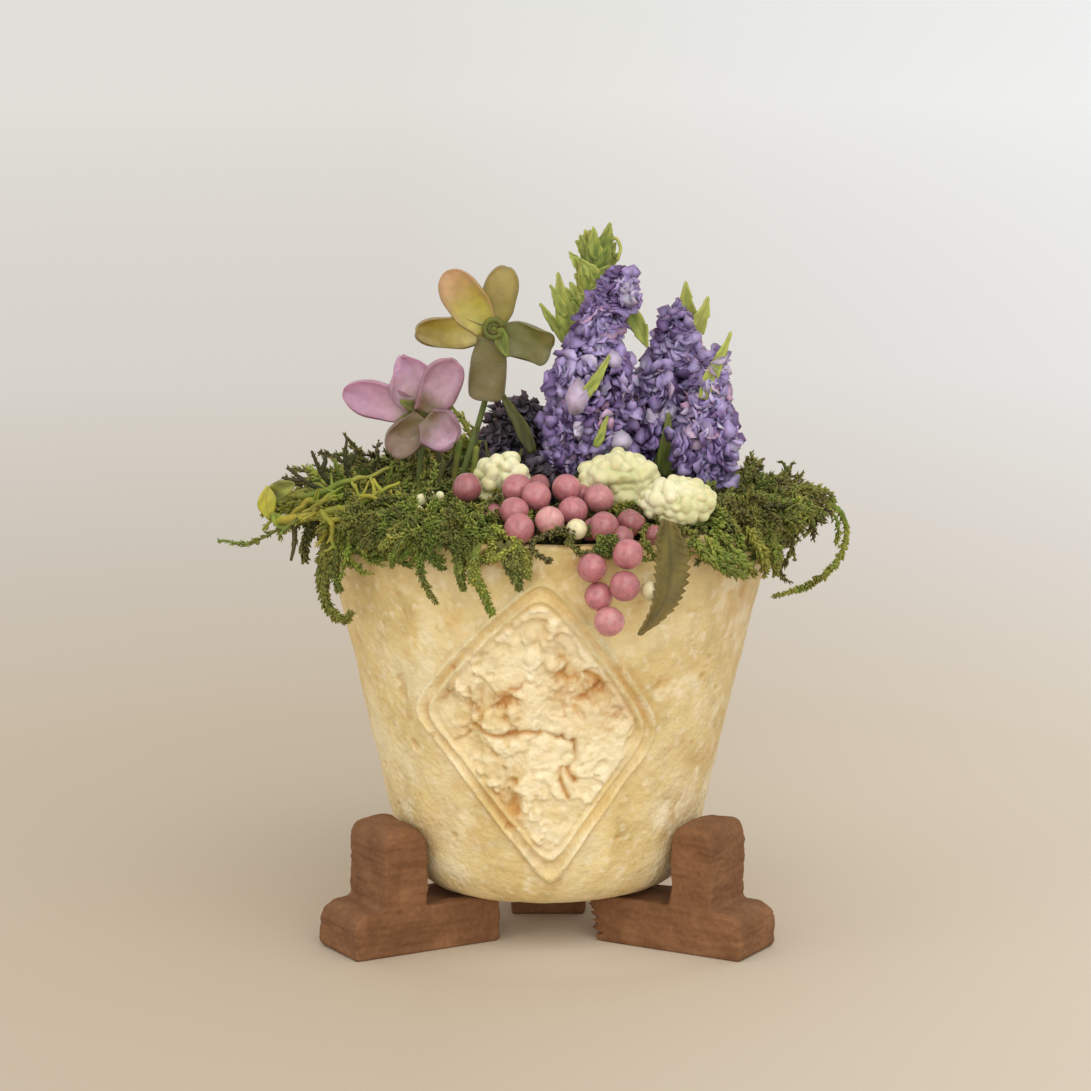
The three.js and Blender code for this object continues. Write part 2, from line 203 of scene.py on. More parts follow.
class Form:
    """Closed shapes gathered for one mesh. Each point carries values for its material."""

    names = ("tint", "along", "depth")

    def __init__(self):
        self.points, self.quads, self.triangles = [], [], []
        self.values = {name: [] for name in self.names}
        self.count = 0

    def add(self, points, quads=None, triangles=None, **values):
        points = np.asarray(points, float).reshape(-1, 3)
        self.points.append(points)
        if quads is not None and len(quads):
            self.quads.append(np.asarray(quads, int).reshape(-1, 4) + self.count)
        if triangles is not None and len(triangles):
            self.triangles.append(np.asarray(triangles, int).reshape(-1, 3) + self.count)
        for name in self.names:
            value = np.asarray(values.get(name, 0.0), float)
            self.values[name].append(np.broadcast_to(value, len(points)).copy())
        self.count += len(points)

    def piece(self, name, body, material, stands_for, slot):
        quads = np.vstack(self.quads) if self.quads else np.zeros((0, 4), int)
        triangles = np.vstack(self.triangles) if self.triangles else np.zeros((0, 3), int)
        corners = np.concatenate([quads.ravel(), triangles.ravel()])
        starts = np.concatenate([
            np.arange(len(quads)) * 4, 4 * len(quads) + np.arange(len(triangles)) * 3
        ])
        mesh = bpy.data.meshes.new(name)
        mesh.vertices.add(self.count)
        mesh.vertices.foreach_set("co", (np.vstack(self.points) * MM).ravel())
        mesh.loops.add(len(corners))
        mesh.loops.foreach_set("vertex_index", corners)
        mesh.polygons.add(len(starts))
        mesh.polygons.foreach_set("loop_start", starts)
        mesh.update(calc_edges=True)
        for key in self.names:
            layer = mesh.attributes.new(key, "FLOAT", "POINT")
            layer.data.foreach_set("value", np.concatenate(self.values[key]))
        mesh.polygons.foreach_set("use_smooth", np.ones(len(starts), bool))
        mesh.validate()
        mesh.materials.append(material)
        piece = new_object(name, mesh)
        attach(piece, body)
        if stands_for:
            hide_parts(*stands_for)


def loft_quads(rows, columns, closed):
    """Faces between rows of points. closed joins the last column to the first."""
    i, j = np.meshgrid(np.arange(rows - 1), np.arange(columns if closed else columns - 1),
                       indexing="ij")
    k = (j + 1) % columns
    faces = np.stack([i * columns + j, i * columns + k, (i + 1) * columns + k,
                      (i + 1) * columns + j], axis=-1)
    return faces.reshape(-1, 4)


def end_fans(columns, last_row, first, final):
    """Triangles that close a loft's two ends, round the points first and final."""
    j = np.arange(columns)
    k = (j + 1) % columns
    return np.vstack([
        np.stack([np.full(columns, first), k, j], axis=-1),
        np.stack([np.full(columns, final), last_row + j, last_row + k], axis=-1),
    ])


def tube(form, points, radius, sides, flat=1.0, **values):
    """A closed tube along the points. flat makes it thinner along its normal."""
    points = np.asarray(points, float)
    count = len(points)
    radius = np.broadcast_to(np.asarray(radius, float), count)
    tangents = unit(np.gradient(points, axis=0))
    across = np.zeros((count, 3))
    last = at_right_angles(tangents[0], np.array([0.31, 0.17, 0.93]))
    for i in range(count):
        last = at_right_angles(tangents[i], last)
        across[i] = last
    side = np.cross(tangents, across)
    turn = 2 * np.pi * np.arange(sides) / sides
    ring = (across[:, None] * np.cos(turn)[:, None] * flat + side[:, None] * np.sin(turn)[:, None])
    body = points[:, None] + ring * radius[:, None, None]
    ends = np.array([points[0] - tangents[0] * radius[0] * 0.4,
                     points[-1] + tangents[-1] * radius[-1] * 0.8])
    caps = end_fans(sides, (count - 1) * sides, count * sides, count * sides + 1)
    filled = {}
    for key, value in values.items():
        value = np.asarray(value, float)
        if value.ndim:
            value = np.concatenate([np.repeat(value, sides), value[:1], value[-1:]])
        filled[key] = value
    form.add(np.vstack([body.reshape(-1, 3), ends]), loft_quads(count, sides, True), caps,
             **filled)


def for_each_corner(values, count, corners):
    """The values of count shapes, repeated for every corner of a shape."""
    return {key: np.repeat(np.broadcast_to(np.asarray(value, float), count), corners)
            for key, value in values.items()}


LEAFLET_FACES = np.array([
    (0, 3, 4), (3, 1, 4), (1, 2, 4), (2, 0, 4),
    (3, 0, 5), (1, 3, 5), (2, 1, 5), (0, 2, 5),
])


def leaflets(form, roots, directions, normals, lengths, widths, thick=0.3, cup=0.15, **values):
    """Many small pointed leaves, each a closed shape."""
    count = len(roots)
    lengths = np.broadcast_to(np.asarray(lengths, float), count)[:, None]
    widths = np.broadcast_to(np.asarray(widths, float), count)[:, None]
    directions = unit(directions)
    normals = at_right_angles(directions, normals)
    side = np.cross(normals, directions)
    middle = roots + directions * lengths * 0.42
    lift = normals * widths * cup
    half = widths * thick * 0.5
    corners = np.stack([
        roots,
        roots + directions * lengths + lift * 1.6,
        middle + side * widths / 2 + lift,
        middle - side * widths / 2 + lift,
        middle + normals * half,
        middle - normals * half,
    ], axis=1)
    faces = LEAFLET_FACES[None] + 6 * np.arange(count)[:, None, None]
    form.add(corners.reshape(-1, 3), None, faces.reshape(-1, 3),
             along=np.tile([0.0, 1.0, 0.5, 0.5, 0.4, 0.4], count),
             **for_each_corner(values, count, 6))


PETAL_OUTLINE = np.array([
    (0.0, 0.0), (0.26, -0.36), (0.62, -0.5), (0.92, -0.27),
    (1.0, 0.02), (0.9, 0.3), (0.6, 0.5), (0.25, 0.34),
])


def round_petals(form, rng, roots, directions, normals, lengths, widths, crumple, cup=0.25,
                 thick=0.16, **values):
    """Many small rounded petals, each a closed cupped shape."""
    count = len(roots)
    lengths = np.broadcast_to(np.asarray(lengths, float), count)
    widths = np.broadcast_to(np.asarray(widths, float), count)
    directions = unit(directions)
    normals = at_right_angles(directions, normals)
    side = np.cross(normals, directions)
    a = PETAL_OUTLINE[None, :, 0] * lengths[:, None]
    b = PETAL_OUTLINE[None, :, 1] * widths[:, None]
    a = a * (1 + rng.uniform(-0.12, 0.12, a.shape))
    rise = cup * widths[:, None] * (np.abs(PETAL_OUTLINE[None, :, 1]) * 2) ** 2
    rise = rise + cup * lengths[:, None] * PETAL_OUTLINE[None, :, 0] ** 2 * 0.5
    rise = rise + rng.uniform(-crumple, crumple, a.shape) * widths[:, None]
    rim = (roots[:, None] + directions[:, None] * a[..., None] + side[:, None] * b[..., None]
           + normals[:, None] * rise[..., None])
    middle = roots + directions * (lengths * 0.55)[:, None]
    half = (widths * thick)[:, None]
    low = normals * (cup * 0.1 * widths)[:, None]
    corners = np.concatenate([
        rim, (middle + low + normals * half * 0.5)[:, None],
        (middle + low - normals * half * 0.5)[:, None],
    ], axis=1)
    j = np.arange(8)
    k = (j + 1) % 8
    fan = np.vstack([np.stack([j, k, np.full(8, 8)], -1), np.stack([k, j, np.full(8, 9)], -1)])
    faces = fan[None] + 10 * np.arange(count)[:, None, None]
    form.add(corners.reshape(-1, 3), None, faces.reshape(-1, 3),
             along=np.tile(np.append(PETAL_OUTLINE[:, 0], [0.5, 0.5]), count),
             **for_each_corner(values, count, 10))


def ball_template(subdivisions):
    bm = bmesh.new()
    bmesh.ops.create_icosphere(bm, subdivisions=subdivisions, radius=1.0)
    points = np.array([v.co for v in bm.verts])
    faces = np.array([[v.index for v in f.verts] for f in bm.faces])
    bm.free()
    return points, faces


BALLS = {level: ball_template(level) for level in (3, 4)}


def ball(form, centre, radii, detail, lumps, lump_scale, grain, **values):
    """An uneven ball. lumps is how far its surface swells and sinks, in millimetres."""
    points, faces = BALLS[detail]
    placed = np.asarray(centre, float) + points * np.asarray(radii, float)
    swell = grain(placed, lump_scale, 2) - 0.5
    form.add(placed + points * (lumps * swell)[:, None], None, faces, **values)


def blade(form, grid, normals, thickness, **values):
    """A thin closed sheet over a grid of points. values are grids or single numbers."""
    rows, columns = grid.shape[:2]
    edge = np.ones((rows, columns), bool)
    edge[1:-1, 1:-1] = False
    top = grid + np.where(edge[..., None], 0, normals * thickness / 2)
    under = grid - normals * thickness / 2
    upper = np.arange(rows * columns).reshape(rows, columns)
    lower = upper.copy()
    inner = ~edge
    lower[inner] = rows * columns + np.arange(inner.sum())
    faces = loft_quads(rows, columns, False)
    back = lower.ravel()[faces][:, ::-1]
    filled = {}
    for key, value in values.items():
        value = np.broadcast_to(np.asarray(value, float), (rows, columns))
        filled[key] = np.concatenate([value.ravel(), value[inner]])
    points = np.vstack([top.reshape(-1, 3), under[inner]])
    form.add(points, np.vstack([faces, back]), None, **filled)


def grid_normals(grid):
    along = np.gradient(grid, axis=0)
    across = np.gradient(grid, axis=1)
    return unit(np.cross(along, across))


# Materials


class Paint:
    """A procedural material: a Principled shader with noise, ramps and bumps in front of it."""

    def __init__(self, name, **settings):
        self.material = bpy.data.materials.new(name)
        self.material.use_nodes = True
        self.tree = self.material.node_tree
        self.shader = self.tree.nodes["Principled BSDF"]
        for key, value in settings.items():
            self.shader.inputs[key.replace("_", " ")].default_value = value
        self.place = self.node("TexCoord").outputs["Object"]

    def node(self, kind):
        return self.tree.nodes.new("ShaderNode" + kind)

    def link(self, source, target):
        self.tree.links.new(source, target)

    def sideways(self):
        """How far a point is to the right of the middle, in metres."""
        split = self.node("SeparateXYZ")
        self.link(self.place, split.inputs[0])
        return split.outputs["X"]

    def value(self, name):
        node = self.node("Attribute")
        node.attribute_name = name
        return node.outputs["Fac"]

    def noise(self, lump, detail=3.0, stretch=None, distortion=0.0):
        """Noise with lumps of about that many millimetres."""
        node = self.node("TexNoise")
        node.inputs["Scale"].default_value = 1 / (lump * MM)
        node.inputs["Detail"].default_value = detail
        node.inputs["Distortion"].default_value = distortion
        place = self.place
        if stretch:
            turn = self.node("Mapping")
            turn.inputs["Scale"].default_value = stretch
            self.link(place, turn.inputs["Vector"])
            place = turn.outputs["Vector"]
        self.link(place, node.inputs["Vector"])
        return node.outputs["Fac"]

    def cells(self, size):
        node = self.node("TexVoronoi")
        node.inputs["Scale"].default_value = 1 / (size * MM)
        self.link(self.place, node.inputs["Vector"])
        return node.outputs["Distance"]

    def ramp(self, source, *stops):
        """stops are (place, colour) or (place, number)."""
        node = self.node("ValToRGB")
        elements = node.color_ramp.elements
        while len(elements) < len(stops):
            elements.new(0.5)
        for element, (place, colour) in zip(elements, stops):
            element.position = place
            if isinstance(colour, (int, float)):
                colour = (colour, colour, colour)
            element.color = (*colour, 1)
        self.link(source, node.inputs["Fac"])
        return node.outputs["Color"]

    def mix(self, share, a, b, blend="MIX"):
        node = self.node("Mix")
        node.data_type = "RGBA"
        node.blend_type = blend
        for key, value in ((0, share), (6, a), (7, b)):
            socket = node.inputs[key]
            if isinstance(value, bpy.types.NodeSocket):
                self.link(value, socket)
            elif isinstance(value, tuple):
                socket.default_value = (*value, 1)
            else:
                socket.default_value = value
        return node.outputs[2]

    def times(self, a, b, share=1.0):
        return self.mix(share, a, b, "MULTIPLY")

    # Darker where the depth value is high, down to least. Where depth marks the deep parts of
    # clumps, heads and spikes, this is painted shade.
    def darker_inside(self, tone, least):
        return self.times(tone, self.ramp(self.value("depth"), (0.0, 1.0), (1.0, least)))

    def math(self, operation, a, b):
        node = self.node("Math")
        node.operation = operation
        for socket, value in zip(node.inputs, (a, b)):
            if isinstance(value, bpy.types.NodeSocket):
                self.link(value, socket)
            else:
                socket.default_value = value
        return node.outputs[0]

    def spots(self, lump, detail, *stops):
        return self.ramp(self.noise(lump, detail), *stops)

    def finish(self, colour, roughness=None, bumps=None):
        """roughness is (lump, low, high). bumps are (height, depth in millimetres, strength)."""
        self.link(colour, self.shader.inputs["Base Color"])
        if roughness:
            lump, low, high = roughness
            tone = self.spots(lump, 3, (0.3, low), (0.7, high))
            self.link(tone, self.shader.inputs["Roughness"])
        if bumps:
            height, depth, strength = bumps
            node = self.node("Bump")
            node.inputs["Distance"].default_value = depth * MM
            node.inputs["Strength"].default_value = strength
            self.link(height, node.inputs["Height"])
            self.link(node.outputs["Normal"], self.shader.inputs["Normal"])
        return self.material


def linear(red, green, blue):
    """A linear colour from the 0 to 255 numbers of a colour picker."""
    def one(v):
        v = v / 255
        return v / 12.92 if v <= 0.04045 else ((v + 0.055) / 1.055) ** 2.4
    return tuple(one(v) for v in (red, green, blue))


def cast_paint():
    paint = Paint("cast_honey", Specular_IOR_Level=0.4)
    mottle = paint.ramp(
        paint.noise(5.0, 6, distortion=0.4),
        (0.3, linear(216, 189, 124)), (0.5, linear(230, 207, 147)), (0.7, linear(238, 222, 176)),
    )
    blotch = paint.spots(1.3, 6, (0.32, 0.84), (0.5, 0.98), (0.68, 1.05))
    base = paint.times(mottle, blotch, 0.85)
    flecks = paint.spots(0.7, 6, (0.54, 0.0), (0.68, 0.5))
    base = paint.mix(flecks, base, linear(248, 236, 204))
    warm = paint.spots(1.6, 6, (0.56, 0.0), (0.72, 0.34))
    base = paint.mix(warm, base, linear(214, 164, 96))
    wash = paint.spots(1.2, 5, (0.3, linear(210, 160, 84)), (0.7, linear(178, 114, 46)))
    # The brown wash goes where tint is high: in the cracks, grooves and stains of the cast, and
    # towards both sides of the pot, where it is painted shade.
    stained_and_shaded = paint.mix(paint.value("tint"), base, wash)
    grit = paint.spots(0.5, 5, (0.35, 0.45), (0.6, 1.0))
    worn_and_shaded = paint.mix(paint.math("MULTIPLY", paint.value("along"), grit), stained_and_shaded,
                     linear(251, 238, 202))
    # Greyer and darker towards the right of the pot: painted shade.
    edge = paint.ramp(paint.math("MULTIPLY", paint.sideways(), 50.0), (0.12, 0.0), (0.62, 0.8))
    worn_and_shaded = paint.mix(edge, worn_and_shaded, paint.times(worn_and_shaded, (0.86, 0.84, 0.88)))
    return paint.finish(worn_and_shaded, (2.5, 0.48, 0.7), (paint.noise(0.42, 6), 0.2, 0.75))


def wood_paint():
    paint = Paint("sawn_brown_wood", Specular_IOR_Level=0.25)
    tone = paint.ramp(
        paint.noise(2.4, 4),
        (0.3, linear(112, 76, 48)), (0.5, linear(126, 87, 57)), (0.72, linear(142, 101, 68)),
    )
    saw = paint.noise(0.5, 3, stretch=(0.25, 0.25, 2.6))
    lines = paint.ramp(saw, (0.35, 0.95), (0.6, 1.02))
    grit = paint.spots(0.35, 5, (0.3, 0.86), (0.7, 1.08))
    tone = paint.times(paint.times(tone, lines, 0.75), grit)
    return paint.finish(tone, (0.8, 0.72, 0.9), (paint.noise(0.4, 5), 0.14, 0.8))


def foam_paint():
    paint = Paint("pored_foam", Specular_IOR_Level=0.2)
    tone = paint.ramp(
        paint.cells(0.55),
        (0.1, linear(44, 54, 32)), (0.5, linear(84, 100, 60)), (0.9, linear(106, 122, 78)),
    )
    return paint.finish(tone, (1.0, 0.85, 1.0), (paint.cells(0.4), 0.12, 0.8))


def leafy_paint(name, tones, tip, glow=0.15, green_share=0.0, clumps=0.0):
    """Plant matter: a range of tones by leaf, paler towards each tip, darker deep inside, a painted
    shade.
    """
    paint = Paint(name, Specular_IOR_Level=0.3, Subsurface_Weight=glow, Subsurface_Scale=0.0004)
    stops = [(i / (len(tones) - 1), linear(*tone)) for i, tone in enumerate(tones)]
    tone = paint.ramp(paint.value("tint"), *stops)
    green = paint.spots(3.5, 2, (0.42, 0.0), (0.6, green_share))
    tone = paint.mix(green, tone, paint.times(tone, (0.66, 0.96, 0.72)))
    near_tip = paint.ramp(paint.value("along"), (0.4, 0.0), (1.0, 0.5))
    tipped = paint.mix(near_tip, tone, linear(*tip))
    speck = paint.spots(0.6, 4, (0.3, 0.72), (0.7, 1.15))
    clump = paint.spots(3.2, 3, (0.36, 1 - clumps), (0.64, 1 + 0.4 * clumps))
    shaded = paint.darker_inside(paint.times(paint.times(tipped, speck, 0.7), clump), 0.2)
    return paint.finish(shaded, (0.6, 0.55, 0.8), (paint.noise(0.25, 3), 0.06, 0.6))


def berry_paint(name, dark, middle, light):
    paint = Paint(name, Specular_IOR_Level=0.5, Subsurface_Weight=0.3, Subsurface_Scale=0.0008,
                  Coat_Weight=0.35, Coat_Roughness=0.16)
    tone = paint.ramp(paint.value("tint"), (0.0, dark), (0.5, middle), (1.0, light))
    veins = paint.ramp(paint.noise(0.7, 5, distortion=1.6), (0.35, 0.76), (0.65, 1.14))
    tone = paint.times(tone, veins, 0.8)
    return paint.finish(tone, (0.5, 0.2, 0.42), (paint.noise(0.4, 4), 0.05, 0.5))


def bead_paint():
    paint = Paint("cream_beads", Specular_IOR_Level=0.4, Subsurface_Weight=0.3,
                  Subsurface_Scale=0.0006)
    tone = paint.ramp(
        paint.value("tint"),
        (0.0, linear(190, 190, 122)), (0.5, linear(218, 214, 166)), (1.0, linear(240, 238, 210)),
    )
    fine = paint.spots(0.5, 3, (0.3, 0.86), (0.7, 1.0))
    # Darker deep inside each head: painted shade.
    return paint.finish(paint.darker_inside(paint.times(tone, fine, 0.7), 0.45), (0.6, 0.38, 0.6))


def floret_paint():
    paint = Paint("lilac_crumbs", Specular_IOR_Level=0.35, Subsurface_Weight=0.2,
                  Subsurface_Scale=0.0004)
    tone = paint.ramp(
        paint.value("tint"),
        (0.0, linear(98, 76, 120)), (0.25, linear(138, 115, 168)), (0.5, linear(165, 147, 197)),
        (0.75, linear(186, 170, 211)), (0.9, linear(208, 196, 218)), (1.0, linear(198, 158, 188)),
    )
    rim = paint.ramp(paint.value("along"), (0.0, 0.62), (0.6, 1.0), (1.0, 1.12))
    speck = paint.spots(0.4, 3, (0.3, 0.72), (0.7, 1.12))
    # Darker deep inside each spike: painted shade.
    shaded = paint.darker_inside(paint.times(paint.times(tone, rim, 0.8), speck, 0.7), 0.25)
    return paint.finish(shaded, (0.5, 0.42, 0.7), (paint.noise(0.22, 2), 0.03, 0.5))


def petal_paint(name, base, middle, tip, edge):
    """A thin waxy petal: base, middle and tip colours run along it, with a deeper edge."""
    paint = Paint(name, Specular_IOR_Level=0.5, Subsurface_Weight=0.4, Subsurface_Scale=0.0008,
                  Transmission_Weight=0.15)
    drift = paint.math("MULTIPLY", paint.math("SUBTRACT", paint.noise(1.5, 4), 0.5), 0.55)
    place = paint.math("ADD", paint.value("along"), drift)
    tone = paint.ramp(place, (0.12, base), (0.45, middle), (0.85, tip))
    speck = paint.spots(0.45, 5, (0.34, 0.84), (0.66, 1.08))
    tone = paint.times(tone, speck, 0.8)
    border = paint.math("ADD", paint.value("depth"), paint.math("MULTIPLY", drift, 0.5))
    tone = paint.mix(paint.ramp(border, (0.66, 0.0), (1.0, 0.7)), tone, edge)
    return paint.finish(tone, (0.8, 0.26, 0.48), (paint.noise(0.7, 4), 0.08, 0.6))


PAINTS = {
    "cast": cast_paint(),
    "wood": wood_paint(),
    "foam": foam_paint(),
    "moss": leafy_paint("moss_green", [(70, 60, 36), (104, 104, 46), (134, 134, 58),
                                       (162, 158, 66), (190, 174, 66)], (176, 180, 96),
                        green_share=1.0, clumps=0.28),
    # A shaded copy of the moss colours: painted shade for the bed and the leaves between the
    # flowers.
    "moss_shaded": leafy_paint("moss_shadow", [(38, 38, 20), (66, 68, 32), (96, 96, 46)],
                             (108, 110, 58)),
    "leaf": leafy_paint("leaf_yellow_green", [(92, 104, 48), (130, 144, 62), (164, 172, 84),
                                              (186, 188, 104)], (176, 182, 100), glow=0.25),
    "berry_leaf": leafy_paint("leaf_brown_green", [(82, 72, 36), (112, 100, 50), (138, 128, 68)],
                              (112, 90, 52), glow=0.2),
    "stem": leafy_paint("stem_green", [(74, 84, 38), (104, 116, 56), (136, 144, 72)],
                        (120, 120, 60), glow=0.05),
    "berry": berry_paint("berry_rose", linear(142, 84, 84), linear(182, 114, 118),
                         linear(214, 160, 154)),
    "berry_pale": berry_paint("berry_pale", linear(196, 186, 136), linear(216, 206, 164),
                              linear(232, 226, 188)),
    "bead": bead_paint(),
    "floret": floret_paint(),
    "centre": leafy_paint("flower_heart", [(84, 80, 38), (108, 114, 48), (122, 144, 62)],
                          (138, 146, 78), glow=0.3),
    # Shaded violet crumbs and a near-black core colour: painted shade between the flowers and the
    # spikes.
    "shaded_floret": leafy_paint("shaded_violet_crumbs", [(40, 37, 33), (84, 78, 86),
                                                      (140, 130, 152)], (136, 126, 146)),
}


# Pot


def pot_outline():
    """Radius and height from the middle of the bottom, up outside and down inside."""
    corner_top = POT_BOTTOM + CORNER_HEIGHT
    floor = POT_BOTTOM + FLOOR_THICKNESS
    rim_turn = POT_RIM - RIM_ROUND

    def bend(start, corner, end, steps):
        t = np.linspace(0, 1, steps + 1)[1:, None]
        start, corner, end = np.array(start), np.array(corner), np.array(end)
        return (1 - t) ** 2 * start + 2 * t * (1 - t) * corner + t**2 * end

    def line(start, end, steps):
        t = np.linspace(0, 1, steps + 1)[1:, None]
        return (1 - t) * np.array(start) + t * np.array(end)

    knee = (wall_radius(corner_top), corner_top)
    shoulder = (wall_radius(rim_turn), rim_turn)
    rim_out = (RIM_RADIUS - RIM_ROUND, POT_RIM)
    rim_in = (RIM_RADIUS - WALL + RIM_ROUND, POT_RIM)
    shoulder_in = (shoulder[0] - WALL, rim_turn)
    knee_in = (knee[0] - WALL, corner_top)
    return np.vstack([
        line((0.3, POT_BOTTOM), (BOTTOM_FLAT_RADIUS, POT_BOTTOM), BOTTOM_ROWS),
        bend((BOTTOM_FLAT_RADIUS, POT_BOTTOM), (wall_radius(POT_BOTTOM), POT_BOTTOM), knee,
             BEND_ROWS),
        line(knee, shoulder, WALL_ROWS),
        bend(shoulder, (RIM_RADIUS, POT_RIM), rim_out, RIM_ROWS),
        line(rim_out, rim_in, 3),
        bend(rim_in, (RIM_RADIUS - WALL, POT_RIM), shoulder_in, 4),
        line(shoulder_in, knee_in, 14),
        bend(knee_in, (wall_radius(floor) - WALL, floor), (BOTTOM_FLAT_RADIUS, floor), 5),
        line((BOTTOM_FLAT_RADIUS, floor), (0.3, floor), 4),
    ])


def frame_distance(degrees, height):
    """Millimetres inside the diamond's outer bead, rounded at the corners."""
    radius = wall_radius(height)
    soft = 0.55
    total = np.zeros(len(degrees))
    for i in range(4):
        a, b = np.array(RELIEF_CORNERS[i]), np.array(RELIEF_CORNERS[(i + 1) % 4])
        run = b - a
        value = (degrees - a[0]) * run[1] - (height - a[1]) * run[0]
        slope = np.hypot(run[1] * 180 / np.pi / radius, run[0])
        total += np.exp(np.clip(-value / slope / soft, -40, 40))
    return -soft * np.log(total)


def crease_distance(degrees, height, shift, near):
    """Millimetres to the nearest crease, worked out only at the points that are near."""
    found = np.full(len(degrees), 9.0)
    along = (np.radians(degrees) * wall_radius(height) + shift)[near]
    for route in CREASES:
        for x, _, z in curve_through([(x, 0.0, z) for x, z in route], 90):
            found[near] = np.minimum(found[near], np.hypot(along - x, height[near] - z))
    return found


def boss_heights(degrees, height):
    """Four round bosses in the upper part of the relief."""
    total = np.zeros(len(degrees))
    for turn, level, size in ((-5.0, 21.2, 0.55), (0.4, 20.8, 0.6), (-4.0, 19.8, 0.6),
                              (1.2, 19.4, 0.45)):
        away = np.hypot(np.radians(degrees - turn) * wall_radius(height), height - level)
        total += 0.42 * np.sqrt(np.clip(1 - (away / size) ** 2, 0, 1))
    return total


def pot_grid():
    """Points and outward normals of the plain pot, and each point's row and degrees."""
    outline = pot_outline()
    degrees = np.concatenate([
        np.arange(-RELIEF_HALF_TURN, RELIEF_HALF_TURN, 0.5),
        np.arange(RELIEF_HALF_TURN, 360 - RELIEF_HALF_TURN, 1.5),
    ])
    angle = np.radians(degrees)
    forward = np.stack([np.sin(angle), -np.cos(angle), np.zeros(len(angle))], axis=-1)
    points = outline[:, None, :1] * forward[None]
    points[..., 2] = outline[:, 1][:, None]
    slope = np.gradient(outline, axis=0)
    steepness = np.hypot(slope[:, 0], slope[:, 1])
    normals = forward[None] * (slope[:, 1] / steepness)[:, None, None]
    normals[..., 2] = (-slope[:, 0] / steepness)[:, None]
    row = np.repeat(np.arange(len(outline)), len(degrees))
    return points.reshape(-1, 3), normals.reshape(-1, 3), row, np.tile(degrees, len(outline))


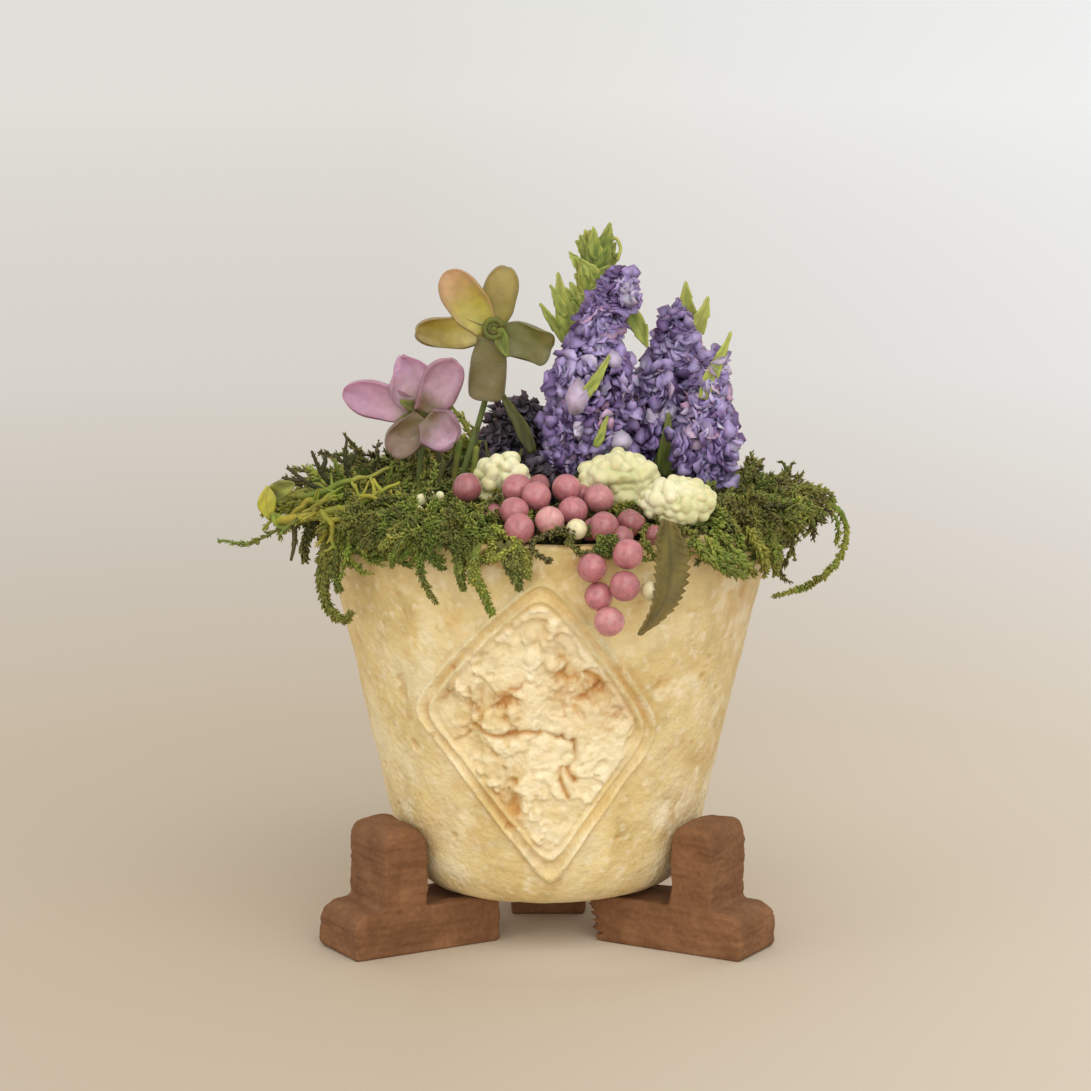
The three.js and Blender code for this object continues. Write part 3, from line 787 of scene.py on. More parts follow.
def build_pot():
    lumps, cracks, wear, stain = (Noise(seed) for seed in (3, 5, 8, 13))
    spots, normals, row, turn = pot_grid()
    height = spots[:, 2]
    rows = row[-1] + 1
    columns = len(row) // rows
    rim_row = BOTTOM_ROWS + BEND_ROWS + WALL_ROWS + RIM_ROWS
    outside = (row < rim_row) & (row > BOTTOM_ROWS)
    on_front = outside & (np.abs(turn) < RELIEF_HALF_TURN - 0.5)

    inside = np.full(len(spots), -9.0)
    inside[on_front] = frame_distance(turn[on_front], height[on_front])
    wobble = 0.1 * (lumps(spots, 0.45, 2) - 0.5)
    strength = 0.75 + 0.5 * lumps(spots + 20, 0.7, 2)
    outer = np.exp(-(((inside + wobble) / 0.17) ** 2)) * 0.42
    inner = np.exp(-(((inside - 0.7 + wobble) / 0.15) ** 2)) * 0.38
    beads = (outer + inner) * strength

    panel = smoothstep(0.84, 1.1, inside)
    bent = spots + 2.2 * cracks.sway(spots, (3.1, 11.7, 23.9), 0.4, 4)
    plates = cracks(bent, 0.34, 5)
    chips = cracks(bent + 40, 0.8, 4)
    fine = cracks(bent + 80, 2.0, 3)
    crumple = (0.34 * smoothstep(0.46, 0.52, plates) + 0.2 * smoothstep(0.47, 0.53, chips)
               + 0.2 * (fine - 0.5) - 0.16) * panel
    crack = crease_distance(turn, height, 1.6 * wobble, panel > 0)
    crack = np.exp(-((crack / 0.19) ** 2)) * smoothstep(0.34, 0.46, chips) * on_front
    crumple -= 0.26 * crack
    bosses = boss_heights(turn, height) * on_front
    plain = outside * (1 - panel)
    slabs = 0.3 * (lumps(spots, 0.22, 3) - 0.5) + 0.1 * (lumps(spots, 0.9, 3) - 0.5)
    pits = -0.14 * smoothstep(0.76, 0.86, wear(spots, 0.9, 2)) * plain
    lift = beads + crumple + bosses + slabs * outside + pits
    lift = lift * smoothstep(0, 0.8, POT_RIM - height) * outside
    rim_wave = 0.22 * (lumps(spots + 60, 0.3, 2) - 0.5) * np.exp(-((POT_RIM - height) / 0.8))
    inner_wall = ~outside & (row >= rim_row)
    lift = lift + rim_wave + 0.1 * (lumps(spots + 9, 0.6, 2) - 0.5) * inner_wall
    placed = spots + normals * lift[:, None]

    crease = panel * (np.exp(-(((plates - 0.45) / 0.026) ** 2))
                      + np.exp(-(((chips - 0.45) / 0.024) ** 2)) * 0.5)
    brown = smoothstep(0.4, 0.6, stain(spots, 0.3, 3))
    grooves = ((0.35, 0.13, 0.6), (-0.34, 0.14, 0.3), (1.0, 0.13, 0.4))
    groove = sum(np.exp(-(((inside - place) / wide) ** 2)) * share
                 for place, wide, share in grooves)
    drift = smoothstep(0.54, 0.74, stain(spots + 33, 0.22, 3)) * 0.16
    under_rim = np.exp(-((POT_RIM - 0.6 - height) / 1.1) ** 2) * 0.5
    under_rim = under_rim * smoothstep(0.5, 0.7, stain(spots, 0.6, 2))
    # side is painted shade: more of the brown wash towards the far left and right of the pot, where
    # the wall turns from the light.
    side = smoothstep(9.0, 13.5, np.abs(spots[:, 0])) * 0.12
    tint = crease * (0.2 + 0.9 * brown) + 0.95 * crack + side + groove * (0.3 + 0.7 * brown)
    tint = np.clip(tint + drift + under_rim + 0.35 * (pits < -0.05), 0, 0.95)
    tint = np.clip(tint + 0.3 * panel * brown, 0, 0.95)
    tops = smoothstep(0.46, 0.56, 0.6 * plates + 0.4 * chips) * (1 - 0.5 * brown)
    raised = (1 - crack) * (1 - 0.8 * crease * brown) * panel * (0.25 + 0.75 * tops)
    patches = smoothstep(0.62, 0.74, wear(spots + 5, 0.5, 4)) * plain * 0.6
    low_right = smoothstep(2, 9, spots[:, 0]) * smoothstep(14, 8, height) * 0.9
    low_right = low_right * smoothstep(0.55, 0.66, wear(spots + 50, 0.7, 4))
    bead_wear = (outer + inner) * 1.3 * smoothstep(0.45, 0.7, wear(spots + 70, 0.5, 2))
    pale = np.clip(raised * 0.85 + patches + low_right * plain + bead_wear, 0, 1) * outside

    centres = [(0, 0, POT_BOTTOM), (0, 0, POT_BOTTOM + FLOOR_THICKNESS)]
    count = len(placed)
    form = Form()
    form.add(np.vstack([placed, centres]), loft_quads(rows, columns, True),
             end_fans(columns, count - columns, count, count + 1),
             tint=np.append(tint * outside + 0.1 * (~outside), [0, 0]),
             along=np.append(pale, [0, 0]))
    form.piece("cast_pot", "pot", PAINTS["cast"], ["pot"], "cast_pot")


# Feet and foam plug: CAD solids remeshed finely and roughened


def fine_copy(points, faces, voxel, smooth):
    """Points, normals and faces of one skin round everything, made of even quads."""
    mesh = bpy.data.meshes.new("work")
    mesh.from_pydata((np.asarray(points) * MM).tolist(), [], faces)
    work = new_object("work", mesh)
    remesh = work.modifiers.new("remesh", "REMESH")
    remesh.mode = "VOXEL"
    remesh.voxel_size = voxel * MM
    if smooth:
        soften = work.modifiers.new("soften", "SMOOTH")
        soften.factor = 0.5
        soften.iterations = smooth
    evaluated = work.evaluated_get(bpy.context.evaluated_depsgraph_get())
    skin = evaluated.to_mesh()
    made = read(skin.vertices, "co", 3) / MM
    normals = read(skin.vertices, "normal", 3)
    quads = read(skin.polygons, "vertices", 4, int)
    evaluated.to_mesh_clear()
    bpy.data.objects.remove(work)
    return made, normals, quads


def remeshed(name, turn, voxel, smooth):
    """A CAD node as a fine skin, turned square to its own direction."""
    faces = [list(face.vertices) for face in nodes[name].data.polygons]
    return fine_copy(turned_back(node_points(name), -turn), faces, voxel, smooth)


def turned_back(points, turn):
    c, s = math.cos(turn), math.sin(turn)
    return np.stack([c * points[:, 0] - s * points[:, 1],
                     s * points[:, 0] + c * points[:, 1], points[:, 2]], axis=-1)


def build_feet():
    grain = Noise(21)
    for name, degrees, inner_x, splintered in (("foot_left", 210, 4.75, 0.0),
                                               ("foot_right", 330, 4.75, 1.0),
                                               ("foot_rear", 90, 1.6, 0.2)):
        turn = math.radians(degrees)
        points, normals, quads = remeshed(name, turn, 0.1, 14)
        shift = np.array([degrees * 0.1, 0, 0])
        lumps = grain(points + shift, 0.45, 3) - 0.5
        lines = grain((points + shift) * np.array([0.5, 0.5, 4.0]), 1.0, 2) - 0.5
        fibres = grain((points + shift) * np.array([0.3, 2.4, 2.4]), 1.6, 2) - 0.5
        inner_end = np.exp(-((points[:, 0] - inner_x) / 0.6) ** 2) * splintered
        splinter = inner_end * (fibres * 1.6 - 0.2 * (points[:, 2] > 1.6))
        lift = 0.5 * lumps + 0.12 * lines + 0.1 * fibres
        above = smoothstep(0.02, 0.5, points[:, 2])
        moved = points + normals * (lift * above)[:, None]
        moved[:, 0] += splinter * above
        upright = smoothstep(5.6, 8.0, points[:, 2])
        over = np.abs((points[:, 0] - UPRIGHT_MIDDLE) / 1.45) ** 6 * 0.35
        over = over + np.abs(points[:, 1] / 2.35) ** 6 * 0.25
        end = smoothstep(13.4, 15.0, points[:, 0]) ** 2 * smoothstep(1.2, 2.9, points[:, 2])
        moved[:, 2] -= upright * over + end * 0.35
        moved[:, 2] = np.where(points[:, 2] < 0.03, 0.0, np.maximum(moved[:, 2], 0.0))
        form = Form()
        form.add(turned_back(moved, turn), quads, None, tint=np.clip(lines + 0.5, 0, 1))
        form.piece(f"wood_{name}", "feet", PAINTS["wood"], [name], "feet_wood")


def build_foam():
    grain = Noise(31)
    points, normals, quads = remeshed("foam_plug", 0.0, 0.3, 1)
    pores = grain(points, 1.7, 2)
    lift = -0.14 * smoothstep(0.5, 0.75, pores) + 0.05 * (grain(points, 0.4) - 0.5)
    form = Form()
    form.add(points + normals * lift[:, None], quads, None, tint=pores)
    form.piece("foam_block", "planting", PAINTS["foam"], ["foam_plug"], "foam")


# Moss


def clear_of_picks(points, margin=0.25):
    """True where points stand clear of the columns that the flowers and spikes lift through."""
    points = np.asarray(points, float).reshape(-1, 3)
    clear = np.ones(len(points), bool)
    for spike in SPIKE_NAMES:
        middle, radii = node_middle(f"{spike}_florets"), node_radii(f"{spike}_florets")
        away = np.hypot(points[:, 0] - middle[0], points[:, 1] - middle[1])
        clear &= away > max(radii[0], radii[1]) + margin
    for x, y in FLOWER_STEMS:
        clear &= np.hypot(points[:, 0] - x, points[:, 1] - y) > STEM_RADIUS + margin
    return clear | (points[:, 2] < MOSS_LEVEL)


def frond(form, rng, points, leaf=(0.42, 0.24), gap=0.085, spread=0.95, stem=0.13, tint=0.5,
          sides=2, depth=0.0):
    """A moss shoot: a stem along the points, clothed in short leaves all the way up."""
    points = np.asarray(points, float)
    steps = np.linalg.norm(np.diff(points, axis=0), axis=1)
    length = steps.sum()
    travelled = np.concatenate([[0], np.cumsum(steps)])
    tangents = unit(np.gradient(points, axis=0))
    share = np.linspace(0, 1, len(points))
    tube(form, points, stem * (1 - 0.55 * share), 6, tint=tint * 0.9, along=0.25, depth=depth)
    count = max(int(length / gap), 3) * sides
    at = np.sort(rng.uniform(0.03, 1.0, count)) * length
    root, along = (np.stack([np.interp(at, travelled, column) for column in rows.T], axis=-1)
                   for rows in (points, tangents))
    along = unit(along)
    out = at_right_angles(along, random_units(rng, count))
    lean = spread * rng.uniform(0.6, 1.35, count)[:, None]
    direction = unit(along * np.cos(lean) + out * np.sin(lean) + 0.12 * random_units(rng, count))
    where = at / length
    swell = 0.55 + 0.45 * np.sin(np.pi * np.clip(0.1 + 0.9 * where, 0, 1))
    size = swell * rng.uniform(0.65, 1.3, count)
    facing = unit(along * 0.7 + random_units(rng, count) * 0.6 - out * 0.3)
    leaflets(form, root + out * stem * 0.4, direction, facing, leaf[0] * size, leaf[1] * size,
             thick=0.45, cup=0.25, tint=np.clip(tint + rng.normal(0, 0.12, count), 0, 1),
             depth=depth)


def shoot_path(rng, root, direction, length, droop, bend):
    """A path that starts off along direction, curls a little and bends down."""
    points = [np.asarray(root, float)]
    heading = unit(direction)
    axis = random_units(rng, 1)[0] * rng.uniform(0, bend)
    for _ in range(10):
        pull = np.array([0, 0, -droop]) + np.cross(axis, heading)
        heading = unit(heading + pull / 11)
        points.append(points[-1] + heading * length / 10)
    return np.array(points)


def within_box(points):
    """True if a path stays by the CAD part's box, so that the whole keeps its size."""
    grow = 0.6
    low, high = np.array(cad_box) / MM
    return bool(np.all(points > low - grow) and np.all(points < high + grow))


def outside_pot(points, gap=0.25):
    """True if the path keeps outside the wall wherever it hangs below the rim."""
    points = np.asarray(points)
    radius = np.hypot(points[:, 0], points[:, 1])
    low = points[:, 2] < POT_RIM + 0.2
    return bool(np.all(radius[low] > RIM_RADIUS + gap))


def tuft(form, rng, centre, radii, count, length, tint, lift=0.35, droop=0.9, bend=1.6,
         depth=0.0, **look):
    """Shoots that spring out of a mound of moss."""
    made = tries = 0
    centre, radii = np.asarray(centre, float), np.asarray(radii, float)
    while made < count and tries < count * 12:
        tries += 1
        way = random_units(rng, 1)[0]
        way[2] = abs(way[2])
        root = centre + radii * way * rng.uniform(0.5, 0.95)
        root[2] = max(root[2], MOSS_LEVEL - 0.1)
        away = unit(np.array([root[0], root[1], 0.0]))
        direction = unit(way * [1, 1, 0.5] + away * 0.6 + [0, 0, lift] + rng.normal(0, 0.35, 3))
        path = shoot_path(rng, root, direction, length * rng.uniform(0.6, 1.25), droop, bend)
        if not (within_box(path) and outside_pot(path) and clear_of_picks(path).all()):
            continue
        made += 1
        frond(form, rng, path, tint=float(np.clip(rng.normal(tint, 0.15), 0.02, 1)), depth=depth,
              **look)


def drape(form, rng, first, last, count, fall, tint, **look):
    """Shoots that spill over the rim between two directions, in degrees from the front."""
    drift = Noise(int(rng.integers(1, 9999)))
    for _ in range(count):
        turn = math.radians(rng.uniform(first, last))
        slide = rng.uniform(-0.2, 0.2, 2)
        drop = fall * rng.uniform(0.35, 1.1)
        reach = (12.2, 13.6, 14.75, 14.95 + 0.3 * rng.random(), 14.8)
        height = (27.3, 27.6 + 0.3 * rng.random(), 27.1, 26.6 - 0.5 * drop, 26.6 - drop)
        swing = (0.0, 0.2 * slide[0], slide[0], slide[0] + 0.5 * slide[1], slide[0] + slide[1])
        route = [(r * math.sin(turn + a), -r * math.cos(turn + a), z)
                 for r, z, a in zip(reach, height, swing)]
        path = curve_through(route, 16)
        path = path + 2.2 * drift.sway(path, (2, 6, 10), 0.5, 2) * [1, 1, 0.6]
        if within_box(path) and outside_pot(path, 0.1):
            frond(form, rng, path, tint=float(np.clip(rng.normal(tint, 0.15), 0.02, 1)), **look)


def mound(form, seed, centre, radii, rough, bumps, tint, depth):
    """The matted inside of a clump, flat where it rests on the pot and the bed, leafy above."""
    grain = Noise(seed)
    points, faces = BALLS[4]
    placed = np.asarray(centre, float) + points * np.asarray(radii, float)
    lift = rough * (grain(placed, 0.5, 3) - 0.35) + bumps * (grain(placed, 2.2, 2) - 0.5)
    placed = placed + points * lift[:, None]
    placed[:, 2] = np.maximum(placed[:, 2], MOSS_LEVEL - 0.15 + 0.05 * points[:, 2])
    # depth darkens the matted mound and its leaflets: painted shade inside the clump.
    form.add(placed, None, faces, tint=tint, depth=depth, along=0.2)
    rng = np.random.default_rng(seed)
    picked = rng.permutation(len(placed))[:1500]
    picked = picked[placed[picked, 2] > MOSS_LEVEL]
    count = len(picked)
    size = rng.uniform(0.4, 0.9, count)
    leaflets(form, placed[picked], unit(points[picked] + 0.8 * random_units(rng, count)),
             random_units(rng, count), size, 0.45 * size, tint=rng.uniform(0.1, 0.6, count),
             depth=rng.uniform(0.1, 0.5, count))


def build_moss_bed():
    rng = np.random.default_rng(41)
    grain = Noise(42)
    points, normals, quads = remeshed("moss_bed", 0.0, 0.25, 1)
    lift = 0.5 * (grain(points, 1.1, 3) - 0.55) * smoothstep(26.0, 26.8, points[:, 2])
    form = Form()
    # The bed and its leaflets are darkened by depth and by the shaded moss colours: painted shade
    # under the clumps.
    form.add(points + normals * lift[:, None], quads, None, tint=0.35, depth=0.35)
    count, bed_radius, bed_top = 5200, 12.6, 26.8
    radius = bed_radius * np.sqrt(rng.random(count))
    turn = rng.uniform(0, 2 * np.pi, count)
    roots = np.stack([radius * np.cos(turn), radius * np.sin(turn), np.full(count, bed_top)], -1)
    ways = unit(rng.normal(0, 1, (count, 3)) * [1, 1, 0.35] + [0, 0, 0.35])
    length = rng.uniform(0.5, 1.0, count)
    keep = clear_of_picks(roots + [0, 0, 0.5], 0.1)
    leaflets(form, roots[keep], ways[keep], random_units(rng, count)[keep], length[keep],
             length[keep] * 0.4, tint=rng.uniform(0.1, 0.7, keep.sum()), depth=0.3)
    form.piece("moss_mat", "planting", PAINTS["moss_shaded"], ["moss_bed"], "moss")


FUZZ = dict(leaf=(0.42, 0.26), gap=0.09, stem=0.14)
TWIG = dict(leaf=(0.48, 0.23), gap=0.2, stem=0.19, spread=0.8)
WIDE = dict(leaf=(0.46, 0.28), gap=0.055, stem=0.13, spread=1.15)

# For each clump, its seed, its mound and its pieces. A piece has a name, tufts and drapes.
# A mound's last number and a depth in a tuft's look darken the moss: painted shade.
CLUMPS = {
    "left": (51, ((-10.6, -2.2, 27.2), (4.4, 6.6, 1.1), 1.2, 0.5, 0.3, 0.72), {
        "moss_left": ([
            ((-9.8, -1.6, 27.2), (4.6, 6.6, 1.1), 80, 3.0, 0.34, dict(FUZZ, depth=0.15)),
            ((-11.8, -3.4, 27.3), (3.6, 4.6, 1.0), 60, 3.0, 0.62, dict(TWIG, depth=0.05, lift=0.2)),
            ((-12.2, -5.0, 27.4), (3.4, 2.8, 0.9), 26, 2.8, 0.85, dict(TWIG, lift=0.1)),
            ((-10.5, 1.5, 27.6), (3.8, 4.0, 1.0), 36, 3.4, 0.1, dict(TWIG, lift=0.5)),
        ], []),
        "moss_left_edge": ([
            ((-7.6, -7.8, 27.2), (3.8, 3.4, 0.9), 100, 2.8, 0.36, dict(FUZZ, lift=0.05, bend=2.4)),
            ((-5.0, -3.0, 27.2), (3.0, 3.2, 0.8), 34, 2.4, 0.24, dict(FUZZ, lift=0.5, depth=0.25)),
        ], [(-75, -12, 54, 0.9, 0.4, dict(leaf=(0.4, 0.26), gap=0.06, stem=0.18))]),
    }),
    "right": (61, ((13.7, -2.2, 27.2), (1.8, 5.2, 0.8), 0.7, 0.4, 0.3, 0.7), {
        "moss_right": ([
            ((13.4, -3.0, 27.2), (2.0, 5.2, 0.6), 60, 2.2, 0.3, dict(FUZZ, lift=0.1, bend=2.2)),
            ((13.8, -0.8, 27.3), (1.8, 3.8, 0.6), 64, 2.5, 0.2,
             dict(TWIG, lift=-0.1, droop=1.1, bend=2.6)),
            ((12.6, -4.0, 27.6), (1.2, 3.0, 0.8), 40, 1.8, 0.16, dict(TWIG, lift=0.1, bend=2.6)),
        ], []),
        "moss_right_edge": ([
            ((9.8, -6.6, 27.2), (2.2, 2.6, 0.7), 80, 1.7, 0.12, dict(FUZZ, lift=0.2, bend=2.4)),
        ], [(46, 96, 52, 2.2, 0.42, WIDE), (52, 92, 30, 1.4, 0.1, WIDE)]),
    }),
    "back": (71, ((-0.5, 9.4, 27.2), (9.2, 5.2, 1.4), 1.1, 0.5, 0.3, 0.7), {
        "moss_back": ([
            ((-0.5, 9.4, 27.2), (9.4, 5.2, 1.2), 110, 3.2, 0.34, dict(FUZZ, depth=0.05)),
            ((-2.0, 9.4, 27.6), (8.4, 4.6, 1.1), 90, 3.6, 0.6, dict(TWIG, lift=0.3)),
        ], []),
        "moss_back_edge": (
            [], [(98, 264, 120, 1.8, 0.45, dict(leaf=(0.42, 0.26), gap=0.07, stem=0.2))]),
    }),
    "front": (81, ((-5.6, -11.2, 27.2), (2.6, 2.0, 0.7), 0.6, 0.4, 0.3, 0.6), {
        "moss_front": ([
            ((-5.6, -11.2, 27.2), (3.4, 2.4, 0.7), 90, 2.2, 0.36, dict(FUZZ, lift=0.05, bend=2.6)),
            ((-3.0, -7.4, 27.2), (3.4, 3.6, 0.5), 34, 2.0, 0.34, dict(FUZZ, lift=0.3, depth=0.15)),
            ((5.0, -8.6, 27.2), (4.6, 3.4, 0.3), 60, 1.6, 0.3, dict(FUZZ, lift=0.2, depth=0.2)),
        ], [(2, 36, 14, 0.2, 0.3, dict(leaf=(0.36, 0.22), gap=0.06, stem=0.15))]),
    }),
}


def moss_piece(form, name, stands_for=()):
    form.piece(name, "planting", PAINTS["moss"], stands_for, "moss")


def build_clumps():
    """Each clump's first piece also holds its mound, and stands for the CAD clump."""
    for side, (seed, under, pieces) in CLUMPS.items():
        rng = np.random.default_rng(seed)
        for name, (tufts, drapes) in pieces.items():
            form = Form()
            whole = name == f"moss_{side}"
            if whole:
                mound(form, seed + 1, *under)
            for *place, look in tufts:
                tuft(form, rng, *place, **look)
            for *place, look in drapes:
                drape(form, rng, *place, **look)
            moss_piece(form, name, [f"moss_clump_{side}"] if whole else ())


def build_bed_leaves():
    """Dark leaves and thin stems that stand in the bed between the flowers, in the shaded moss
    colours: painted shade.
    """
    form = Form()
    rng = np.random.default_rng(85)
    for root, tip, wide, tint in (((-0.9, -2.6, 30.6), (-3.0, -1.8, 34.6), 0.95, 0.6),
                                  ((-6.3, -3.6, 27.6), (-6.9, -3.0, 31.6), 0.5, 0.1),
                                  ((-4.6, -3.4, 27.4), (-4.3, -2.8, 32.4), 0.45, 0.1),
                                  ((-2.6, -3.4, 28.0), (-1.6, -3.2, 31.0), 0.5, 0.3),
                                  ((-3.2, -3.4, 28.0), (-3.9, -2.6, 31.4), 0.5, 0.2)):
        leafy(form, rng, root, tip, FORWARD + [0, 0, 0.2], wide, 3, cup=0.35,
              curl=rng.uniform(-0.2, 0.2), tint=tint, bite=0.12, belly=0.8)
    form.piece("bed_leaves", "planting", PAINTS["moss_shaded"], (), "moss")


def mixed_tones(rng, lumps, middle, most):
    """Tones round a middle one, that drift with the lumps and also differ one by one."""
    return np.clip(middle + 0.9 * (lumps - 0.5) + rng.normal(0, 0.2, len(lumps)), 0, most)


def build_shaded_florets():
    """Violet crumbs round a near-black core between the flowers and the spikes. The core and the
    crumbs' grey, darkened colours are painted shade.
    """
    rng = np.random.default_rng(85)
    grain = Noise(86)
    form = Form()
    for middle, radii, count in (((-1.9, 0.6, 30.0), (1.9, 1.9, 3.5), 300),
                                 ((-0.7, -4.4, 28.6), (1.0, 0.8, 1.5), 60)):
        middle, radii = np.array(middle), np.array(radii)
        ball(form, middle, radii * 0.75, 3, 0.9, 0.9, grain, tint=0.0, depth=0.7)
        ways = random_units(rng, count)
        spots = middle + ways * radii * rng.uniform(0.75, 1.05, (count, 1))
        spots = spots[(spots[:, 2] > MOSS_LEVEL) & clear_of_picks(spots, 0.5)]
        count = len(spots)
        tone = mixed_tones(rng, grain(spots, 0.8, 2), 0.35, 1)
        for _ in range(3):
            round_petals(form, rng, spots, random_units(rng, count), unit(spots - middle),
                         rng.uniform(0.6, 1.0, count), rng.uniform(0.6, 1.0, count), crumple=0.06,
                         tint=tone, depth=rng.uniform(0.0, 0.5, count))
    form.piece("shaded_florets", "planting", PAINTS["shaded_floret"], (), "floret")


def hanging(name, seed, routes, **settings):
    """Fronds that hang over the rim, one for each route."""
    rng = np.random.default_rng(seed)
    form = Form()
    for route, change in routes:
        frond(form, rng, curve_through(route, 22), **{**settings, **change})
    moss_piece(form, name, [f"moss_{name}"])


WISP = {"tint": 0.66, "leaf": (0.34, 0.2), "stem": 0.1, "gap": 0.09}


def build_hanging_moss():
    hanging("sprig_long", 91, [
        ([(-14.6, -5.5, 26.8), (-16.2, -5.8, 26.5), (-17.4, -5.8, 25.9), (-18.4, -5.8, 25.5),
          (-20.2, -5.6, 25.7)], {}),
    ], leaf=(0.34, 0.2), gap=0.09, stem=0.12, tint=0.5)
    hanging("sprig_left", 92, [
        ([(-13.3, -7.0, 27.0), (-13.7, -7.9, 24.8), (-13.6, -8.4, 22.8), (-13.1, -8.9, 21.8),
          (-12.3, -9.5, 21.5), (-11.9, -9.8, 22.0)], {}),
        ([(-13.0, -7.6, 27.0), (-13.4, -8.3, 25.4), (-13.2, -8.6, 24.0)], {"tint": 0.55}),
        ([(-12.4, -8.2, 27.0), (-12.4, -8.9, 25.6), (-11.9, -9.3, 24.8), (-11.3, -9.7, 24.9)],
         {"tint": 0.6, "leaf": (0.3, 0.18), "stem": 0.08}),
        ([(-11.6, -9.0, 27.0), (-11.2, -10.0, 25.9), (-10.4, -10.7, 25.4), (-9.6, -11.2, 25.6)],
         {"tint": 0.62, "leaf": (0.3, 0.18), "stem": 0.08}),
        ([(-14.1, -6.2, 27.0), (-14.8, -6.6, 25.8), (-14.8, -6.8, 24.6)], {"tint": 0.1}),
        ([(-13.0, -7.4, 27.0), (-13.2, -8.0, 25.2), (-13.5, -8.4, 23.4)], {"tint": 0.3}),
        ([(-12.6, -7.8, 27.0), (-12.8, -8.6, 25.8), (-12.9, -8.9, 24.2), (-12.6, -9.2, 23.2)],
         {"tint": 0.4}),
        ([(-12.0, -8.8, 27.0), (-12.0, -9.6, 26.0), (-12.3, -9.6, 25.0), (-12.6, -9.4, 23.8)],
         WISP),
        ([(-11.2, -9.6, 27.0), (-11.0, -10.4, 26.2), (-10.8, -10.7, 25.4), (-9.8, -11.3, 25.2)],
         WISP),
        ([(-12.2, -9.2, 25.6), (-11.4, -10.1, 24.7), (-10.6, -10.7, 24.6)], WISP),
        ([(-10.6, -10.4, 27.0), (-10.0, -11.2, 26.0), (-9.0, -11.9, 25.9)], WISP),
    ], leaf=(0.44, 0.28), gap=0.03, stem=0.28, tint=0.42)
    hanging("frond_left", 93, [
        ([(-7.2, -13.0, 27.1), (-7.6, -13.7, 25.6), (-7.2, -14.2, 24.4), (-6.6, -14.4, 23.5)],
         {"leaf": (0.36, 0.2), "stem": 0.14}),
        ([(-8.6, -12.2, 27.1), (-9.2, -12.9, 26.2), (-9.3, -13.0, 25.4)], {"tint": 0.5}),
    ], leaf=(0.32, 0.2), gap=0.035, stem=0.2, tint=0.3)
    hanging("frond_centre", 94, [
        ([(-4.9, -14.0, 27.1), (-4.4, -14.8, 25.6), (-3.8, -15.2, 24.2), (-3.3, -15.3, 23.0)],
         {"tint": 0.7}),
        ([(-5.5, -13.7, 27.1), (-5.3, -14.6, 25.8), (-5.0, -14.8, 24.4)], {"tint": 0.4}),
        ([(-4.2, -14.2, 27.1), (-4.4, -14.9, 26.0), (-4.5, -15.0, 24.9)], {"tint": 0.5}),
    ], leaf=(0.38, 0.24), gap=0.025, stem=0.28, tint=0.6)
    hanging("frond_berry", 95, [
        ([(-2.3, -14.4, 27.2), (-1.9, -15.2, 26.2), (-1.7, -15.5, 24.5)], {"tint": 0.22}),
        ([(-2.9, -14.2, 27.1), (-2.4, -15.0, 26.2), (-2.0, -15.3, 25.0)], {"tint": 0.16}),
        ([(-2.0, -14.4, 27.2), (-1.3, -15.1, 26.4), (-1.2, -15.4, 25.2)], {"tint": 0.5}),
    ], leaf=(0.38, 0.24), gap=0.025, stem=0.28, tint=0.22)
    hanging("frond_right", 96, [
        ([(8.6, -12.3, 27.1), (9.6, -12.2, 25.9), (10.8, -11.5, 25.0), (11.9, -10.4, 24.4)], {}),
        ([(10.4, -10.8, 27.1), (11.4, -10.6, 25.6), (12.5, -9.4, 24.3)], {"tint": 0.62}),
        ([(12.0, -8.6, 27.1), (12.9, -8.8, 25.6), (13.2, -8.0, 24.0)], {"tint": 0.7}),
        ([(12.8, -7.0, 27.1), (13.8, -7.0, 25.4), (13.9, -6.4, 23.8)], {"tint": 0.55}),
        ([(9.4, -11.8, 27.1), (10.2, -11.8, 26.0), (11.4, -11.0, 25.4)], {"tint": 0.6}),
    ], leaf=(0.56, 0.3), gap=0.03, stem=0.12, tint=0.5)
    hanging("loop", 97, [
        ([(17.2, 1.4, 27.0), (18.5, 3.0, 25.8), (18.9, 3.6, 24.2), (18.0, 2.0, 22.6),
          (15.8, -3.0, 22.2), (13.8, -7.1, 22.5)], {}),
        ([(15.2, -0.6, 27.0), (15.6, -0.8, 25.6), (15.1, -1.0, 24.6), (15.4, -1.2, 23.6)],
         {"tint": 0.5, "leaf": (0.3, 0.18), "stem": 0.1}),
    ], leaf=(0.32, 0.2), gap=0.07, stem=0.2, tint=0.6)


def knotted_stem(form, rng, route, radius, tint):
    """A bare woody stem, uneven in thickness, with short stubs and a tapered end."""
    knots = Noise(int(rng.integers(1, 9999)))
    line = curve_through(route, 44)
    line = line + 0.5 * knots.sway(line, (1, 5, 9), 1.1, 2)
    share = np.linspace(0, 1, len(line))
    thick = radius * (0.7 + 0.75 * knots(line, 1.3, 2)) * (1 - 0.65 * share**3)
    thick = thick * (0.5 + 0.5 * smoothstep(0, 0.1, share))
    tone = np.clip(tint + 0.5 * (knots(line, 0.7) - 0.5), 0, 1)
    tube(form, line, thick, 10, flat=0.75, tint=tone, along=0.2,
         depth=0.3 * knots(line + 30, 1.5, 2))
    for _ in range(5):
        i = int(rng.integers(8, 40))
        step = line[i] - line[i - 4]
        out = unit(step + rng.normal(0, 0.9, 3) * np.linalg.norm(step))
        stub = curve_through([line[i], line[i] + 0.5 * out, line[i] + rng.uniform(0.7, 1.3) * out
                              + [0, 0, 0.15]], 8)
        tube(form, stub, radius * np.linspace(0.5, 0.2, 8), 7, tint=tint, along=0.4)


